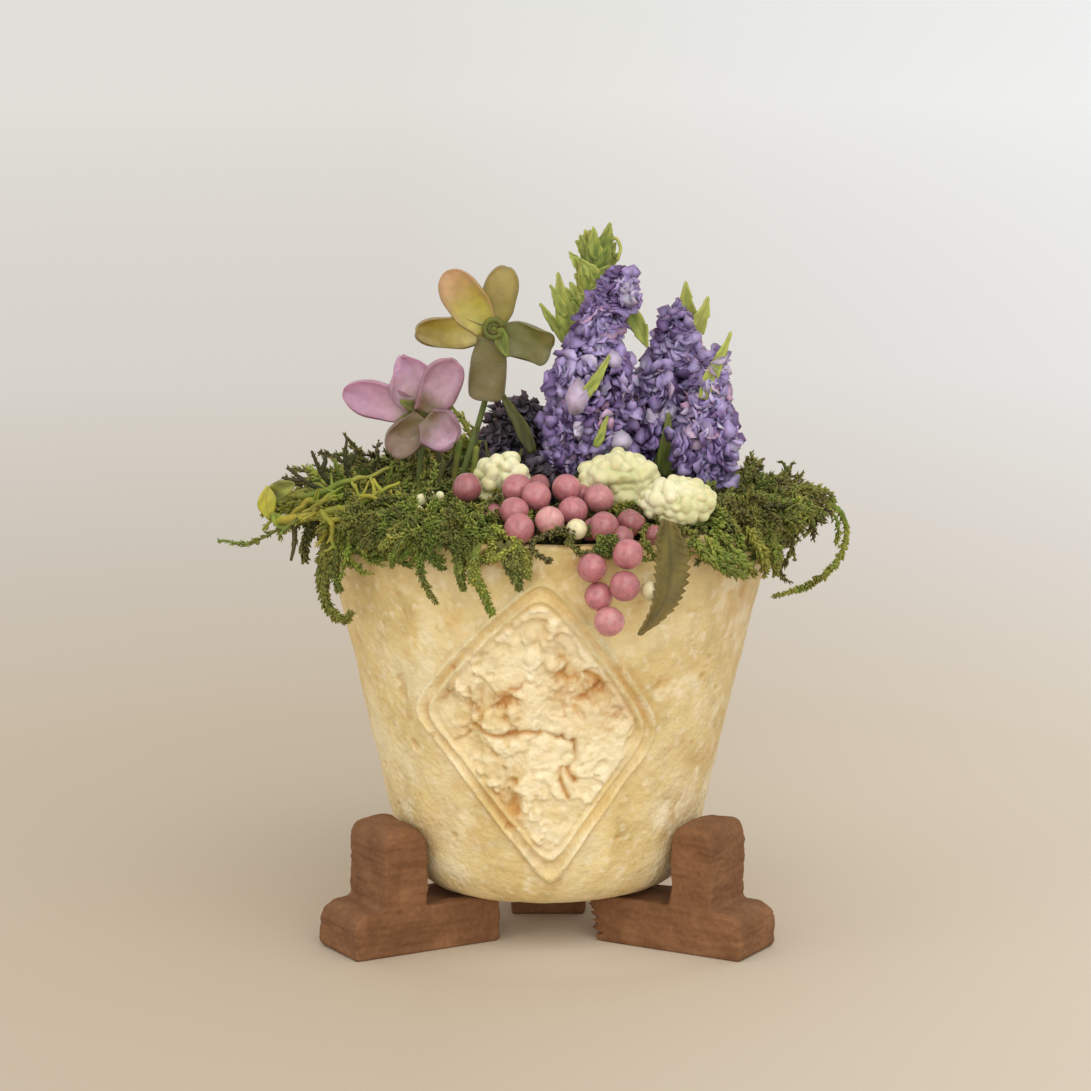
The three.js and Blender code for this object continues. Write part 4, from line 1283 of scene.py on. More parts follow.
# Stems and shoots that stand out of the moss: the points of each route, in millimetres.
# Olive stems and stalks add a radius and a tint, and shoots a tint and a stem's radius.
OLIVE_STEMS = (
    ([(-16.4, -7.2, 27.0), (-15.0, -7.8, 27.6), (-13.2, -8.2, 28.0), (-11.2, -8.2, 28.6),
      (-9.0, -7.6, 29.7)], 0.32, 0.88),
    ([(-12.6, -8.4, 28.3), (-11.2, -9.2, 28.0), (-10.0, -9.8, 27.2), (-8.9, -10.2, 26.6)],
     0.27, 0.84),
    ([(-13.9, -8.3, 28.0), (-13.2, -9.0, 27.2), (-12.7, -9.3, 25.9)], 0.24, 0.82),
    ([(-15.6, -6.8, 28.6), (-13.6, -6.9, 28.9), (-11.8, -6.6, 29.6), (-9.6, -6.0, 30.3)],
     0.26, 0.72),
    ([(-12.0, -8.1, 28.7), (-10.6, -8.5, 28.9), (-9.4, -8.8, 28.6)], 0.22, 0.85),
    ([(-15.0, -7.6, 27.7), (-13.6, -8.0, 28.6), (-12.4, -7.8, 29.4)], 0.2, 0.8),
    ([(-14.2, -8.2, 27.6), (-12.6, -9.0, 27.5), (-11.2, -9.6, 27.9), (-9.8, -9.6, 28.2)],
     0.2, 0.7),
    ([(-15.8, -7.0, 27.4), (-14.6, -7.2, 28.2), (-13.4, -7.2, 28.3), (-12.2, -7.4, 28.9)],
     0.22, 0.9),
    ([(-8.6, -9.6, 28.2), (-6.8, -10.4, 28.3), (-5.2, -10.8, 28.6), (-3.6, -10.4, 29.2)],
     0.16, 0.6),
)
DARK_TWIGS = (
    [(-12.0, -4.6, 28.8), (-12.4, -4.8, 30.4), (-12.3, -4.8, 31.8)],
    [(-12.3, -4.8, 30.2), (-11.8, -4.9, 30.8), (-11.7, -4.9, 31.3)],
    [(-12.6, -5.2, 28.4), (-13.8, -5.5, 29.8), (-14.4, -5.6, 31.2)],
    [(-13.9, -5.5, 29.9), (-13.6, -5.5, 30.5), (-13.6, -5.5, 31.0)],
    [(-13.0, -5.2, 28.4), (-14.6, -5.6, 29.2), (-15.9, -5.6, 30.2)],
    [(-15.0, -5.6, 29.5), (-15.4, -5.6, 29.4), (-16.2, -5.7, 29.6)],
    [(-11.0, -3.4, 29.0), (-10.4, -3.6, 30.8)],
    [(-15.4, -7.4, 27.0), (-15.4, -7.9, 25.9), (-15.6, -8.0, 24.9)],
)
RIGHT_SHOOTS = (
    ([(12.4, -2.6, 28.4), (14.2, -2.2, 28.3), (16.0, -1.6, 28.3), (17.4, -1.0, 27.9),
      (17.9, -0.6, 27.2)], 0.5, 0.18),
    ([(12.8, -4.6, 28.2), (14.4, -4.6, 28.0), (15.8, -4.2, 27.2), (16.4, -3.8, 26.2)],
     0.3, 0.17),
    ([(12.0, -5.0, 28.4), (13.6, -5.4, 28.3), (15.0, -5.4, 27.4), (15.4, -5.2, 26.6)],
     0.35, 0.17),
    ([(13.6, -3.4, 28.2), (15.4, -3.0, 27.9), (16.4, -2.6, 27.0), (16.4, -2.4, 26.0),
      (15.9, -2.4, 25.4)], 0.45, 0.16),
    ([(17.5, 0.8, 26.8), (18.2, 1.8, 25.4), (18.2, 2.0, 24.0)], 0.6, 0.1),
    ([(13.0, -2.4, 27.8), (13.6, -2.2, 28.8), (14.7, -2.0, 29.0)], 0.35, 0.12),
    ([(11.9, -3.0, 28.4), (12.2, -2.6, 29.3), (12.6, -2.4, 29.7)], 0.3, 0.12),
    ([(14.9, -4.2, 26.8), (15.0, -4.6, 25.0), (14.3, -4.8, 23.6), (14.9, -4.8, 22.9)],
     0.1, 0.12),
)
BARE_STALKS = (
    ([(-5.7, -3.3, 27.0), (-5.8, -3.1, 29.0), (-5.4, -2.9, 31.4)], 0.2, 0.3),
    ([(-5.0, -3.6, 27.0), (-4.6, -3.2, 29.4), (-4.4, -3.0, 31.0)], 0.2, 0.4),
    ([(-6.6, -4.4, 27.0), (-6.8, -4.2, 28.6), (-6.4, -3.8, 30.2)], 0.2, 0.2),
)


def build_moss_stems():
    """Olive stems, leaves and dark twigs on the left, shoots on the right and bare stalks."""
    rng = np.random.default_rng(101)
    form = Form()
    for route, radius, tint in OLIVE_STEMS:
        knotted_stem(form, rng, route, radius, tint)
    for root, tip, wide, tint in (((-17.0, -6.8, 27.2), (-17.2, -6.4, 29.2), 1.2, 0.95),
                                  ((-17.4, -6.2, 28.6), (-15.4, -6.0, 29.2), 1.2, 0.35),
                                  ((-16.9, -6.9, 27.6), (-15.6, -7.2, 26.6), 0.8, 0.6)):
        leafy(form, rng, root, tip, FORWARD + [0.2, 0, 0.2], wide, 2, cup=0.5, curl=0.3,
              tint=tint, bite=0.04, belly=0.35)
    for route in DARK_TWIGS:
        frond(form, rng, curve_through(route, 12), (0.42, 0.18), 0.2, 0.7, 0.2, tint=0.04, sides=1)
    for route, tint, stem in RIGHT_SHOOTS:
        frond(form, rng, curve_through(route, 16), (0.42, 0.22), 0.1, 0.7, stem, tint=tint)
    for route, radius, tint in BARE_STALKS:
        tube(form, curve_through(route, 14), radius, 8, tint=tint, along=0.3)
    moss_piece(form, "moss_stems")


# Bead heads and berries


def build_bead_heads():
    grain = Noise(111)
    rng = np.random.default_rng(112)
    for name, size, count, apart, rough in (("left", 0.56, 44, 0.85, 0.7),
                                            ("centre", 0.6, 90, 0.8, 0.8),
                                            ("right", 0.44, 130, 0.95, 0.35)):
        node = f"bead_head_{name}"
        middle, radii = node_middle(node), node_radii(node) * 0.88
        form = Form()
        ball(form, middle, radii * 0.76, 4, 0.6, 0.7, grain, tint=0.3, depth=0.55)
        spots = []
        tries = 0
        while len(spots) < count and tries < 4000:
            tries += 1
            spot = middle + random_units(rng, 1)[0] * radii * rng.uniform(0.78, 1.0)
            if all(np.linalg.norm(spot - other) > size * apart for other in spots):
                spots.append(spot)
        for spot in spots:
            own = size * rng.uniform(0.7, 1.15) * rng.uniform(0.75, 1.15, 3)
            ball(form, spot, own, 3, size * rough, 1.4, grain,
                 tint=rng.uniform(0.0, 1.0), depth=0.12 * (spot[2] < middle[2]))
        faces = np.vstack(form.triangles).tolist()
        points, _, quads = fine_copy(np.vstack(form.points), faces, 0.055, 2)
        # deep darkens the beads deep in each head: painted shade in the hollows between them.
        deep = smoothstep(0.95, 0.72, np.linalg.norm((points - middle) / radii, axis=1))
        skin = Form()
        skin.add(points, quads, None, tint=grain(points, 0.7, 3), depth=0.7 * deep)
        skin.piece(f"beads_{name}", "planting", PAINTS["bead"], [node], "bead_white")


def build_bead_specks():
    form = Form()
    for spot, radius in (((-7.6, -9.4, 28.9), 0.34), ((-7.1, -9.6, 29.2), 0.3),
                         ((-6.5, -9.7, 29.2), 0.26), ((-7.8, -9.6, 28.3), 0.28)):
        ball(form, spot, (radius,) * 3, 3, 0.1, 1.0, Noise(103), tint=0.6)
    form.piece("bead_specks", "planting", PAINTS["bead"], (), "bead_white")


HALF_HIDDEN_BERRIES = (
    ((5.0, -12.2, 28.0), 0.85, 0.1), ((-0.6, -7.4, 29.4), 0.7, 0.1),
    ((-3.4, -10.6, 28.3), 0.6, 0.2), ((2.0, -8.0, 28.9), 0.7, 0.3),
    ((0.2, -11.6, 27.9), 0.7, 0.15), ((2.6, -12.4, 27.6), 0.7, 0.1),
    ((4.4, -13.6, 27.3), 0.7, 0.2), ((6.3, -12.6, 27.3), 0.6, 0.15),
)


def build_berries():
    grain = Noise(121)
    tints = {
        "berry_top": (0.15, 0.5, 0.55, 0.5, 0.62, 0.45, 0.5, 0.85, 0.4, 0.25),
        "berry_hanging": (0.42, 0.45, 0.4, 0.5, 0.65),
        "berry_pale": (0.5, 0.3),
    }
    for group, shades in tints.items():
        names = [f"{group}_{i + 1}" for i in range(len(shades))]
        form = Form()
        for name, tint in zip(names, shades):
            middle, radii = node_middle(name), node_radii(name)
            radius = float(radii.max()) * 1.03
            ball(form, middle, (radius, radius, radius), 4, radius * 0.22, 0.6, grain, tint=tint)
        for spot, radius, tint in HALF_HIDDEN_BERRIES if group == "berry_top" else ():
            ball(form, spot, (radius,) * 3, 4, 0.4, 0.9, grain, tint=tint)
        kind = "berry_pale" if group == "berry_pale" else "berry"
        form.piece(f"{group}_skins", "planting", PAINTS[kind], names, kind)


def build_berry_leaf():
    """The brown-green toothed leaf beside the hanging berries."""
    form = Form()
    rng = np.random.default_rng(131)
    leafy(form, rng, (7.15, -14.9, 28.6), (5.1, -16.7, 22.1), (0.25, -0.96, 0.1), 2.5, 15,
          cup=0.35, curl=0.25, tint=0.4, bite=0.28, belly=0.7, rows=80, columns=21, bow=1.05)
    form.piece("leaf_by_berries", "planting", PAINTS["berry_leaf"], ["berry_leaf"], "leaf")


# Leaves, petals and flowers


def spread_out(root, tip, facing, share, across, rise):
    """Points and normals of a sheet from root to tip that looks the way it is facing."""
    length = np.linalg.norm(tip - root)
    along = unit(tip - root)
    normal = at_right_angles(along, facing)
    side = np.cross(normal, along)
    grid = (root + along * (length * share)[..., None] + side * across[..., None]
            + normal * rise[..., None])
    normals = grid_normals(grid)
    if np.sum(normals[len(grid) // 2, grid.shape[1] // 2] * normal) < 0:
        grid = grid[:, ::-1]
        normals = grid_normals(grid)
    return grid, normals


def leafy(form, rng, root, tip, facing, width, teeth, cup=0.3, curl=0.0, tint=0.5, bite=0.2,
          rows=34, columns=13, belly=0.45, bow=0.0):
    """A toothed leaf from root to tip, a thin closed sheet with a rib along it."""
    root, tip = np.array(root), np.array(tip)
    length = np.linalg.norm(tip - root)
    share = np.linspace(0, 1, rows)[:, None]
    span = np.linspace(-1, 1, columns)[None]
    half = width / 2 * np.sin(np.pi * (0.03 + 0.965 * share) ** (0.7 / (belly + 0.35))) ** 0.85
    left = 1 - bite * ((share * teeth) % 1.0)
    right = 1 - bite * ((share * teeth + 0.4) % 1.0)
    edge = np.where(span < 0, 1 + (left - 1) * np.abs(span), 1 + (right - 1) * np.abs(span))
    sway = 0.06 * width * np.sin(5 * share + rng.uniform(0, 6)) + bow * np.sin(np.pi * share)
    across = half * span * edge + sway
    wave = 0.05 * width * np.sin(9 * share + 3 * span + rng.uniform(0, 6)) * np.abs(span)
    rise = cup * (np.abs(span) ** 1.5) * half + curl * length * share**2 * 0.3 + wave
    grid, normals = spread_out(root, tip, facing, share, across, rise)
    tones = np.clip(tint + 0.12 * np.sin(14 * share + 4 * span), 0, 1)
    rib = 0.35 * np.exp(-((span / 0.12) ** 2))
    blade(form, grid, normals, 0.16, tint=tones, along=share, depth=rib)


def petal(form, rng, root, tip, shape, width, cup, curl, ruffle):
    """A petal from root to tip, strap, square or pointed at its end."""
    even = np.linspace(0, 1, 44)[:, None]
    share = 1 - (1 - even) ** 1.6
    span = np.sin(np.linspace(-1, 1, 23) * np.pi / 2)[None]
    round_from, power = {"strap": (0.62, 2.0), "square": (0.86, 2.6), "pointed": (0.5, 1.35)}[shape]
    spread = 0.62 + 0.38 * smoothstep(0.0, 0.4, share)
    past = np.clip(share - round_from, 0, 1) / (1 - round_from)
    half = width / 2 * spread * (0.02 + 0.98 * np.clip(1 - past**power, 0, 1) ** (1 / power))
    phase = rng.uniform(0, 6, 3)
    waves = np.where(span > 0, np.sin(7 * share + phase[0]), np.sin(8 * share + phase[1]))
    across = half * span * (1 + ruffle * waves)
    wave = ruffle * width * np.sin(9 * share + 2 * span + phase[2]) * np.abs(span) ** 1.5
    rise = cup * width * span**2 * (half / (width / 2)) + curl * share**2 + wave
    grid, normals = spread_out(root, tip, FORWARD, share, across, rise)
    normals[-5:] = normals[-6]
    edge = np.maximum(np.abs(span), share**5)
    blade(form, grid, normals, 0.3, tint=0.5, along=share, depth=edge)


def petal_ends(name, centre):
    """Where a CAD petal starts and ends, from its own points."""
    points = node_points(name)
    flat = np.hypot(points[:, 0] - centre[0], points[:, 2] - centre[2])
    near, far = flat.argmin(), flat.argmax()
    return points[flat < flat[near] + 0.15].mean(0), points[flat > flat[far] - 0.15].mean(0)


STAR = {
    1: dict(shape="strap", width=2.5, cup=0.08, curl=-0.3, ruffle=0.015, reach=(-0.8, 0, 0.1),
            paint=((186, 176, 70), (170, 153, 42), (186, 146, 96), (150, 118, 74))),
    2: dict(shape="strap", width=2.2, cup=0.06, curl=-0.2, ruffle=0.015,
            paint=((156, 143, 38), (139, 121, 20), (163, 143, 62), (104, 98, 30))),
    3: dict(shape="strap", width=1.95, cup=0.08, curl=0.0, ruffle=0.04,
            paint=((194, 182, 100), (167, 149, 60), (147, 127, 46), (116, 100, 34))),
    4: dict(shape="square", width=2.25, cup=0.05, curl=0.2, ruffle=0.03,
            paint=((121, 112, 44), (113, 102, 40), (121, 106, 52), (84, 76, 30))),
    5: dict(shape="square", width=2.2, cup=0.06, curl=0.0, ruffle=0.06, reach=(0.2, 0, -1.0),
            paint=((114, 120, 48), (112, 111, 44), (124, 116, 54), (88, 90, 34))),
}
MAUVE = {
    1: dict(shape="strap", width=2.2, cup=0.12, curl=0.1, ruffle=0.03,
            paint=((150, 124, 108), (192, 150, 168), (184, 140, 166), (150, 98, 126))),
    2: dict(shape="pointed", width=3.0, cup=0.08, curl=0.3, ruffle=0.06,
            paint=((146, 124, 98), (204, 172, 186), (186, 146, 174), (158, 112, 140))),
    3: dict(shape="strap", width=2.3, cup=0.2, curl=0.4, ruffle=0.06,
            paint=((132, 110, 86), (192, 158, 170), (186, 146, 166), (136, 94, 110))),
    4: dict(shape="strap", width=2.5, cup=0.2, curl=0.3, ruffle=0.06,
            paint=((122, 102, 76), (172, 138, 150), (190, 152, 172), (120, 88, 102))),
    5: dict(shape="strap", width=2.1, cup=0.12, curl=0.2, ruffle=0.05,
            paint=((112, 96, 60), (130, 108, 78), (144, 118, 102), (92, 76, 58))),
}


def star_heart(form, rng, front, grain):
    """Two rings, one in the other, with a small leaf that hangs from them."""
    turn = np.linspace(0.3, 5.6, 26)
    for size, thick, tint in ((0.55, 0.19, 0.35), (0.26, 0.15, 0.1)):
        ring = np.stack([front[0] + 0.25 + size * np.cos(turn), front[1] - 0.05 * turn,
                         front[2] + 0.35 + size * np.sin(turn)], axis=-1)
        tube(form, ring, thick, 8, tint=tint, along=0.4)
    leafy(form, rng, front + [0.6, -0.1, 0.4], front + [1.1, -0.5, -1.4],
          FORWARD + [-0.2, 0, 0.1], 0.95, 2, tint=0.6, bite=0.1)
    ball(form, front + [0.2, 0.1, 0.3], (0.45, 0.3, 0.45), 3, 0.3, 1.5, grain, tint=0.6)


def mauve_heart(form, rng, front, grain):
    """A green knob with five small leaves round it."""
    for spot, size, tint in (((0.0, 0.1, 0.1), 0.75, 0.25), ((0.6, 0.0, 0.5), 0.5, 0.4),
                             ((-0.6, 0.1, -0.3), 0.55, 0.1), ((0.3, -0.1, -0.5), 0.5, 0.0)):
        ball(form, front + spot, (size, size * 0.6, size * 0.8), 3, 0.7, 1.2, grain, tint=tint)
    for side in (-1.9, -0.9, 0.2, 1.2, 2.3):
        tip = front + [1.9 * math.sin(side), -0.4, 1.5 * math.cos(side)]
        leafy(form, rng, front, tip, FORWARD + [0, 0, 0.2], 0.8, 1, tint=0.08, bite=0.05,
              rows=16, columns=9)


def build_flower(prefix, body, petals, heart, slot):
    rng = np.random.default_rng(len(prefix) * 7)
    centre = node_middle(f"{prefix}_centre")
    for number, look in petals.items():
        look = dict(look)
        name = f"{prefix}_petal_{number}"
        paint = petal_paint(f"{name}_wax", *(linear(*c) for c in look.pop("paint")))
        root, tip = petal_ends(name, centre)
        tip = tip + look.pop("reach", (0, 0, 0))
        start = centre + (root - centre) * [0.1, 1, 0.1] + [0, -0.05 * number, 0]
        form = Form()
        petal(form, rng, start, tip, **look)
        form.piece(f"{name}_skin", body, paint, [name], slot)
    form = Form()
    heart(form, rng, centre + [0.0, -0.55, 0.0], Noise(141))
    form.piece(f"{prefix}_heart", body, PAINTS["centre"], [f"{prefix}_centre"], "flower_centre")


def build_stems():
    routes = {
        "star": [(-5.4, -2.0, 12.0), (-5.4, -2.0, 19.5), (-5.4, -2.0, 27.1), (-5.3, -1.9, 28.9),
                 (-4.6, -1.2, 31.2), (-3.8, -0.4, 34.0), (-3.7, 0.0, 35.8), (-3.6, 0.0, 37.6)],
        "mauve": [(-8.0, -4.2, 16.0), (-8.0, -4.2, 21.5), (-8.0, -4.2, 27.1), (-7.9, -4.1, 29.5),
                  (-7.7, -3.7, 31.6), (-7.6, -3.7, 33.4)],
        "spike_tall": [(3.25, -1.4, 12.0), (3.25, -1.4, 22.0), (3.25, -1.4, 32.0)],
        "spike_mid": [(7.2, 1.6, 14.0), (7.2, 1.6, 23.0), (7.2, 1.6, 31.7)],
        "spike_right": [(9.9, -2.3, 20.0), (9.9, -2.3, 25.0), (9.9, -2.3, 31.3)],
    }
    bodies = {"star": "star_flower", "mauve": "mauve_flower"}
    grain = Noise(151)
    for name, route in routes.items():
        line = curve_through(route, 60)
        slim = 1 - 0.45 * smoothstep(27.0, 29.5, line[:, 2])
        radius = STEM_RADIUS * slim * (0.86 + 0.24 * grain(line, 0.8, 2))
        form = Form()
        # depth darkens the wire below the moss: painted shade.
        tube(form, line, radius, 12, tint=grain(line + 5, 0.4, 2), along=0.2,
             depth=0.25 * (line[:, 2] < 27))
        form.piece(f"{name}_wire", bodies.get(name, name), PAINTS["stem"], [f"{name}_stem"],
                   "stem_wire")


# Lilac spikes


def spike_outline(share):
    """How wide a spike is at a share of its height, 1 at its widest."""
    return np.sin(np.pi * np.clip(share, 0.001, 0.999) ** 0.6) ** 0.8


def build_spike(name, seed, florets, lean, swell, shift, taper, lobes=(), extra=()):
    """A head of florets round a core. lobes are (middle, spread, count) of more florets, and
    extra are single petals."""
    rng = np.random.default_rng(seed)
    grain = Noise(seed + 1)
    low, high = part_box(f"{name}_florets")
    low, high = np.array(low) / MM, np.array(high) / MM
    stem = node_middle(f"{name}_stem")
    bottom, top = low[2], high[2]
    radius = (high[1] - low[1]) / 2 * swell
    height = top - bottom

    def surface(share, turn, scale):
        wide = radius * spike_outline(share) * scale * (1 - taper * smoothstep(0.3, 0.75, share))
        z = bottom + height * share
        sway = shift * smoothstep(0.0, 0.25, share) * (1 - 0.6 * smoothstep(0.5, 1.0, share))
        return np.stack([stem[0] + sway + lean * (z - bottom) + wide * np.cos(turn),
                         stem[1] + wide * np.sin(turn), z], axis=-1)

    def bulge(points):
        return 0.66 + 0.5 * grain(points, 0.42, 2)

    form = Form()
    rows, columns = 40, 28
    share = np.repeat(np.linspace(0.01, 0.985, rows), columns)
    turn = np.tile(2 * np.pi * np.arange(columns) / columns, rows)
    axis = surface(share, turn, 0.0)
    core = surface(share, turn, 0.7)
    core = axis + (core - axis) * (bulge(core) * (0.8 + 0.4 * grain(core, 1.2)))[:, None]
    count = len(core)
    # The core's depth darkens it: painted shade in the gaps between the florets.
    form.add(np.vstack([core, axis[:1], axis[-1:]]), loft_quads(rows, columns, True),
             end_fans(columns, count - columns, count, count + 1), tint=0.15, depth=0.7, along=0.3)

    place = rng.random(florets * 3)
    keep = rng.random(florets * 3) < (0.25 + 0.75 * spike_outline(place))
    place = place[keep][:florets]
    count = len(place)
    turn = rng.uniform(0, 2 * np.pi, count)
    layer = rng.uniform(0.74, 1.04, count)
    middle = surface(place, turn, 0.0)
    centre = surface(place, turn, 1.0)
    centre = middle + (centre - middle) * (layer * bulge(centre))[:, None]
    flare = unit(centre - middle + [0, 0, 0.3 * radius])
    normal = unit(flare + 0.6 * random_units(rng, count))
    tone = mixed_tones(rng, grain(centre, 0.7, 2), 0.46, 0.92)
    tone = np.where(rng.random(count) < 0.06, 1.0, tone)
    size = 0.55 + 0.6 * rng.random(count) ** 1.5
    spin = rng.uniform(0, 2 * np.pi, count)
    first = at_right_angles(normal, random_units(rng, count))
    second = np.cross(normal, first)
    # deep darkens the inner florets, and the lobes' depth darkens some of theirs: painted shade
    # inside the spike.
    deep = smoothstep(0.95, 0.74, layer) * 0.6
    for p in range(3):
        a = (spin + 2 * np.pi * p / 3 + rng.normal(0, 0.4, count))[:, None]
        out = first * np.cos(a) + second * np.sin(a)
        way = unit(out + normal * rng.uniform(-0.1, 0.9, count)[:, None])
        length = size * rng.uniform(0.75, 1.25, count)
        round_petals(form, rng, centre, way, normal, length,
                     length * rng.uniform(0.85, 1.2, count), crumple=0.07, cup=0.22, thick=0.3,
                     tint=np.clip(tone + rng.normal(0, 0.08, count), 0, 1), depth=deep)
    for spot, spread, count in lobes:
        ways = random_units(rng, count)
        spots = np.array(spot) + ways * spread * rng.uniform(0.3, 1.0, (count, 1))
        tone = mixed_tones(rng, grain(spots, 0.7, 2), 0.5, 1)
        for _ in range(3):
            length = rng.uniform(0.5, 1.0, count)
            round_petals(form, rng, spots, random_units(rng, count), unit(spots - np.array(spot)),
                         length, length * rng.uniform(0.85, 1.2, count), crumple=0.07, cup=0.22,
                         thick=0.3, tint=tone, depth=rng.uniform(0, 0.3, count))
    for *place, length, width, tint in extra:
        spot, way, up = np.array(place, float)[:, None]
        round_petals(form, rng, spot, way, up, length, width, crumple=0.03, cup=0.12, thick=0.3,
                     tint=tint)
    form.piece(f"{name}_petals", name, PAINTS["floret"], [f"{name}_florets"], "floret")


def build_spikes():
    build_spike("spike_tall", 161, 640, 0.12, 1.0, -1.4, 0.3, lobes=[
        ((1.0, -2.4, 30.6), 1.1, 60), ((1.4, -2.2, 33.2), 1.1, 50), ((4.9, -2.0, 40.6), 0.8, 30),
    ], extra=[
        ((1.9, -4.1, 35.6), (-0.1, 0, -1), (0.1, -1, 0.1), 2.3, 1.5, 0.93),
        ((4.5, -3.9, 32.3), (0, 0, -1), (0.2, -1, 0.1), 1.4, 1.35, 0.9),
        ((3.9, -3.6, 37.2), (0.2, 0, -1), (0.2, -1, 0.1), 1.2, 1.0, 0.85),
    ])
    build_spike("spike_mid", 171, 480, 0.1, 1.24, -0.2, 0.15)
    build_spike("spike_right", 181, 360, 0.05, 0.76, -0.3, 0.2)


def build_fern_leaf(rng):
    """The toothed leaf behind the tall spike, with small leaves up and in front of it."""
    form = Form()
    for x, y, reach in ((2.1, 1.5, 2.1), (2.3, 1.2, 1.7), (2.1, 0.9, 1.2)):
        for i in range(30):
            share = (i + rng.uniform(0, 1)) / 30
            side = 1 if i % 2 else -1
            belly = math.sin(math.pi * (0.1 + 0.72 * share))
            root = np.array([x + 1.0 * share + rng.normal(0, 0.12), y, 33.4 + 9.2 * share])
            tip = root + [reach * belly * side * rng.uniform(0.5, 1.0), rng.uniform(-0.35, 0.25),
                          rng.uniform(1.1, 2.3)]
            tip[2] = min(tip[2], 44.4)
            leafy(form, rng, root, tip, FORWARD, 1.05, 4, tint=rng.uniform(0.1, 0.8), bite=0.25,
                  rows=20, columns=9, belly=0.7)
    leafy(form, rng, (1.5, 1.6, 30.0), (3.0, 1.4, 43.8), FORWARD, 2.9, 19, cup=0.2, tint=0.3,
          belly=1.4, rows=110, columns=17)
    for root, tip, wide in (((1.6, 1.0, 36.6), (0.6, 0.9, 41.4), 1.5),
                            ((1.2, 0.9, 38.6), (0.1, 0.8, 40.6), 0.8),
                            ((1.4, 0.9, 36.8), (-0.5, 0.7, 39.5), 0.9),
                            ((2.2, -4.1, 34.2), (3.8, -3.9, 36.9), 0.8),
                            ((2.9, -4.6, 31.3), (3.7, -4.4, 33.2), 0.6)):
        leafy(form, rng, root, tip, FORWARD, wide, 4, tint=rng.uniform(0.4, 0.7), belly=0.9)
    leafy(form, rng, (5.0, -0.6, 39.6), (6.1, -0.9, 36.9), FORWARD, 1.2, 3, tint=0.4)
    leaf_stalk = [(3.25, -1.2, 29.0), (2.6, 0.4, 29.4), (1.8, 1.4, 30.2), (1.6, 1.6, 31.4)]
    hooked_tip = [(3.6, 1.2, 42.6), (4.1, 1.0, 43.5), (4.5, 1.0, 42.9), (4.3, 1.0, 42.1)]
    tube(form, curve_through(leaf_stalk, 16), 0.3, 8, tint=0.2)
    tube(form, curve_through(hooked_tip, 14), 0.11, 6, tint=0.8)
    form.piece("fern_leaf", "spike_tall", PAINTS["leaf"], ["spike_tall_leaf"], "leaf")


def build_mid_leaf(rng):
    form = Form()
    for root, tip, wide, teeth, tint, bite, belly in (
            ((8.7, 3.6, 36.4), (8.7, 3.4, 40.5), 1.3, 4, 0.6, 0.3, 0.45),
            ((8.9, 3.3, 36.2), (10.0, 3.1, 39.6), 1.2, 3, 0.8, 0.3, 0.45),
            ((7.6, 3.0, 36.0), (6.9, 2.8, 38.0), 0.8, 2, 0.6, 0.2, 0.45),
            ((9.0, 3.9, 28.2), (8.8, 3.6, 38.0), 1.3, 4, 0.3, 0.15, 0.45),
            ((7.1, -0.3, 28.6), (7.6, -0.4, 32.6), 1.1, 3, 0.1, 0.1, 0.9),
            ((7.4, -0.8, 28.8), (7.4, -0.9, 32.9), 1.2, 5, 0.05, 0.15, 0.9)):
        leafy(form, rng, root, tip, FORWARD, wide, teeth, tint=tint, bite=bite, belly=belly)
    form.piece("mid_leaf", "spike_mid", PAINTS["leaf"], ["spike_mid_leaf"], "leaf")


def build_right_leaf():
    form = Form()
    rng = np.random.default_rng(195)
    leafy(form, rng, (9.5, -3.2, 34.0), (11.2, -2.6, 38.2), FORWARD, 1.0, 3, tint=0.6, bite=0.15,
          belly=0.9)
    form.piece("right_leaf", "spike_right", PAINTS["leaf"], (), "leaf")


# Stage, lights and camera


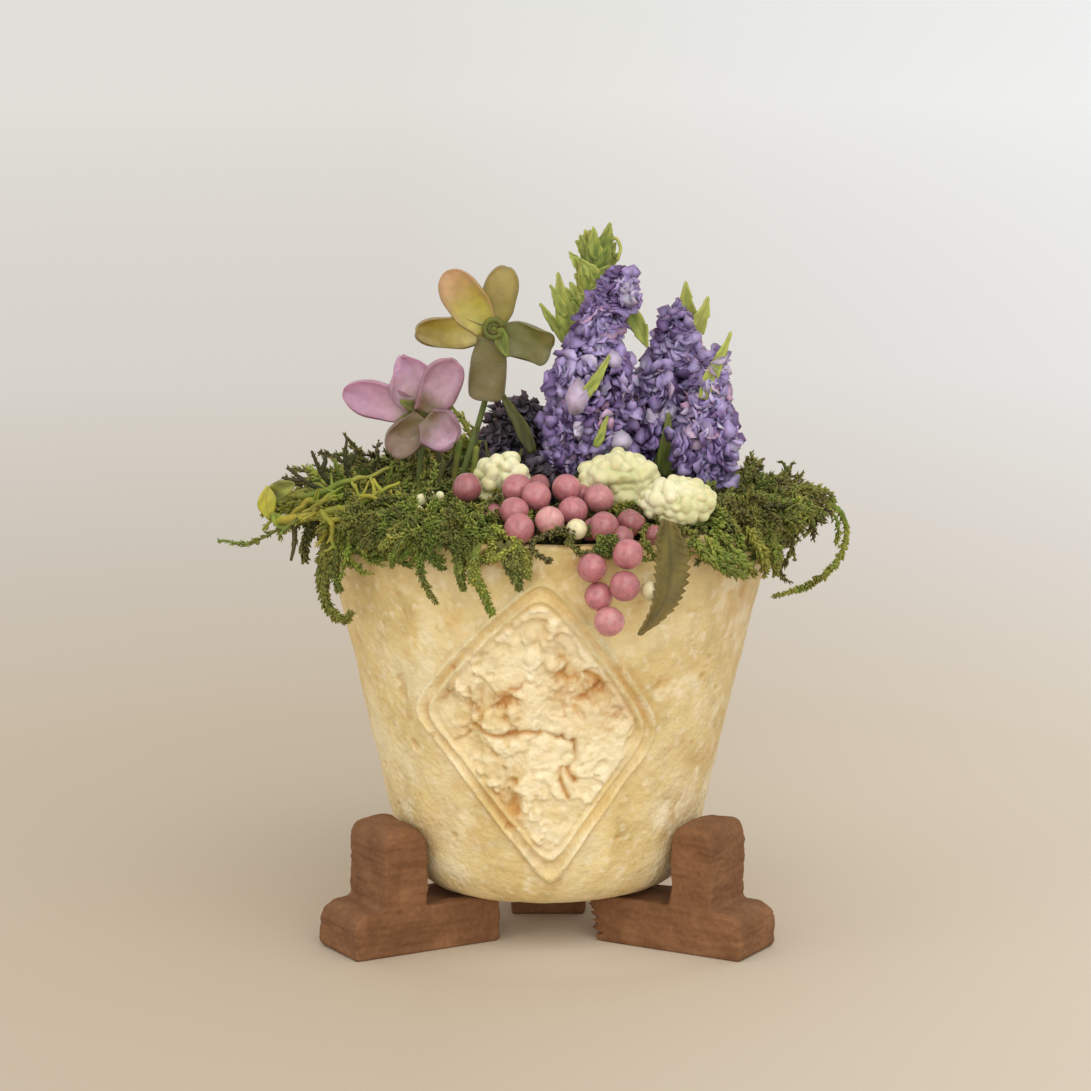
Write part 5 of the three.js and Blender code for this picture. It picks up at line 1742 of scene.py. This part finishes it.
def build_stage():
    half_size, steps = 4.0, 60
    span = np.linspace(-half_size, half_size, steps)
    x, y = np.meshgrid(span, span, indexing="ij")
    points = np.stack([x, y, np.zeros_like(x)], axis=-1).reshape(-1, 3)
    mesh = bpy.data.meshes.new("studio_floor")
    mesh.from_pydata(points.tolist(), [], loft_quads(steps, steps, False)[:, ::-1].tolist())
    mesh.update()
    floor = new_object("studio_floor", mesh)
    paint = Paint("studio_pale", Roughness=0.9, Specular_IOR_Level=0.1)
    length = paint.node("VectorMath")
    length.operation = "LENGTH"
    paint.link(paint.place, length.inputs[0])
    away = paint.math("DIVIDE", length.outputs["Value"], 1.2)
    # Paler in a small round patch under the pot, out to about 7 mm: painted light where the pot
    # shades the floor. Farther out the floor is beige near the pot and pale grey far off.
    tone = paint.ramp(
        away,
        (0.0, linear(230, 217, 198)), (0.0055, linear(218, 205, 186)),
        (0.0095, linear(190, 176, 156)), (0.05, linear(189, 176, 157)),
        (0.11, linear(197, 190, 180)), (0.2, linear(212, 209, 204)),
        (0.5, linear(234, 233, 229)), (1.0, linear(240, 241, 237)),
    )
    # Lighter and cooler towards the right: painted light.
    sideways = paint.math("DIVIDE", paint.sideways(), paint.math("ADD", away, 0.12))
    right = paint.ramp(paint.math("ADD", sideways, 0.5), (0.45, 1.0), (0.75, (1.22, 1.27, 1.36)))
    floor.data.materials.append(paint.finish(paint.times(tone, right)))


def area_light(name, place, size, power, colour):
    data = bpy.data.lights.new(name, "AREA")
    data.shape = "DISK"
    data.size = size
    data.energy = power
    data.color = colour
    aim(new_object(name, data), place, (0, 0, 0.02))


def aim(thing, place, target):
    thing.location = Vector(place)
    way = Vector(target) - Vector(place)
    thing.rotation_euler = way.to_track_quat("-Z", "Y").to_euler()


def build_lights():
    world = bpy.data.worlds.new("studio_air")
    world.use_nodes = True
    back = world.node_tree.nodes["Background"]
    back.inputs["Color"].default_value = (1.0, 0.985, 0.96, 1)
    back.inputs["Strength"].default_value = 0.84
    bpy.context.scene.world = world
    area_light("key_softbox", (0.2, -0.42, 0.55), 0.7, 2.0, (1.0, 0.97, 0.92))
    area_light("low_softbox", (0.02, -0.6, 0.13), 0.5, 0.95, (1.0, 0.98, 0.95))
    area_light("fill_softbox", (-0.5, -0.3, 0.3), 0.5, 0.5, (1.0, 0.98, 0.96))
    bpy.context.scene.view_settings.view_transform = "Standard"
    bpy.context.scene.view_settings.look = "None"


def build_camera():
    elevation = math.radians(10.7)
    distance = 0.28
    look = np.array([-0.00015, 0.0, 0.0243])
    data = bpy.data.cameras.new("photo_view")
    data.sensor_width = 36.0
    data.lens = 147.83
    data.clip_start = 0.01
    data.clip_end = 20.0
    camera = new_object("photo_view", data)
    back = np.array([0.0, -math.cos(elevation), math.sin(elevation)])
    aim(camera, look + back * distance, look)
    bpy.context.scene.camera = camera


build_camera()
build_stage()
build_lights()
build_pot()
build_feet()
build_foam()
build_moss_bed()
build_clumps()
build_shaded_florets()
build_bed_leaves()
build_hanging_moss()
build_moss_stems()
build_bead_heads()
build_bead_specks()
build_berries()
build_berry_leaf()
build_flower("star", "star_flower", STAR, star_heart, "petal_star")
build_flower("mauve", "mauve_flower", MAUVE, mauve_heart, "petal_mauve")
build_stems()
build_spikes()
leaf_rng = np.random.default_rng(191)
build_fern_leaf(leaf_rng)
build_mid_leaf(leaf_rng)
build_right_leaf()
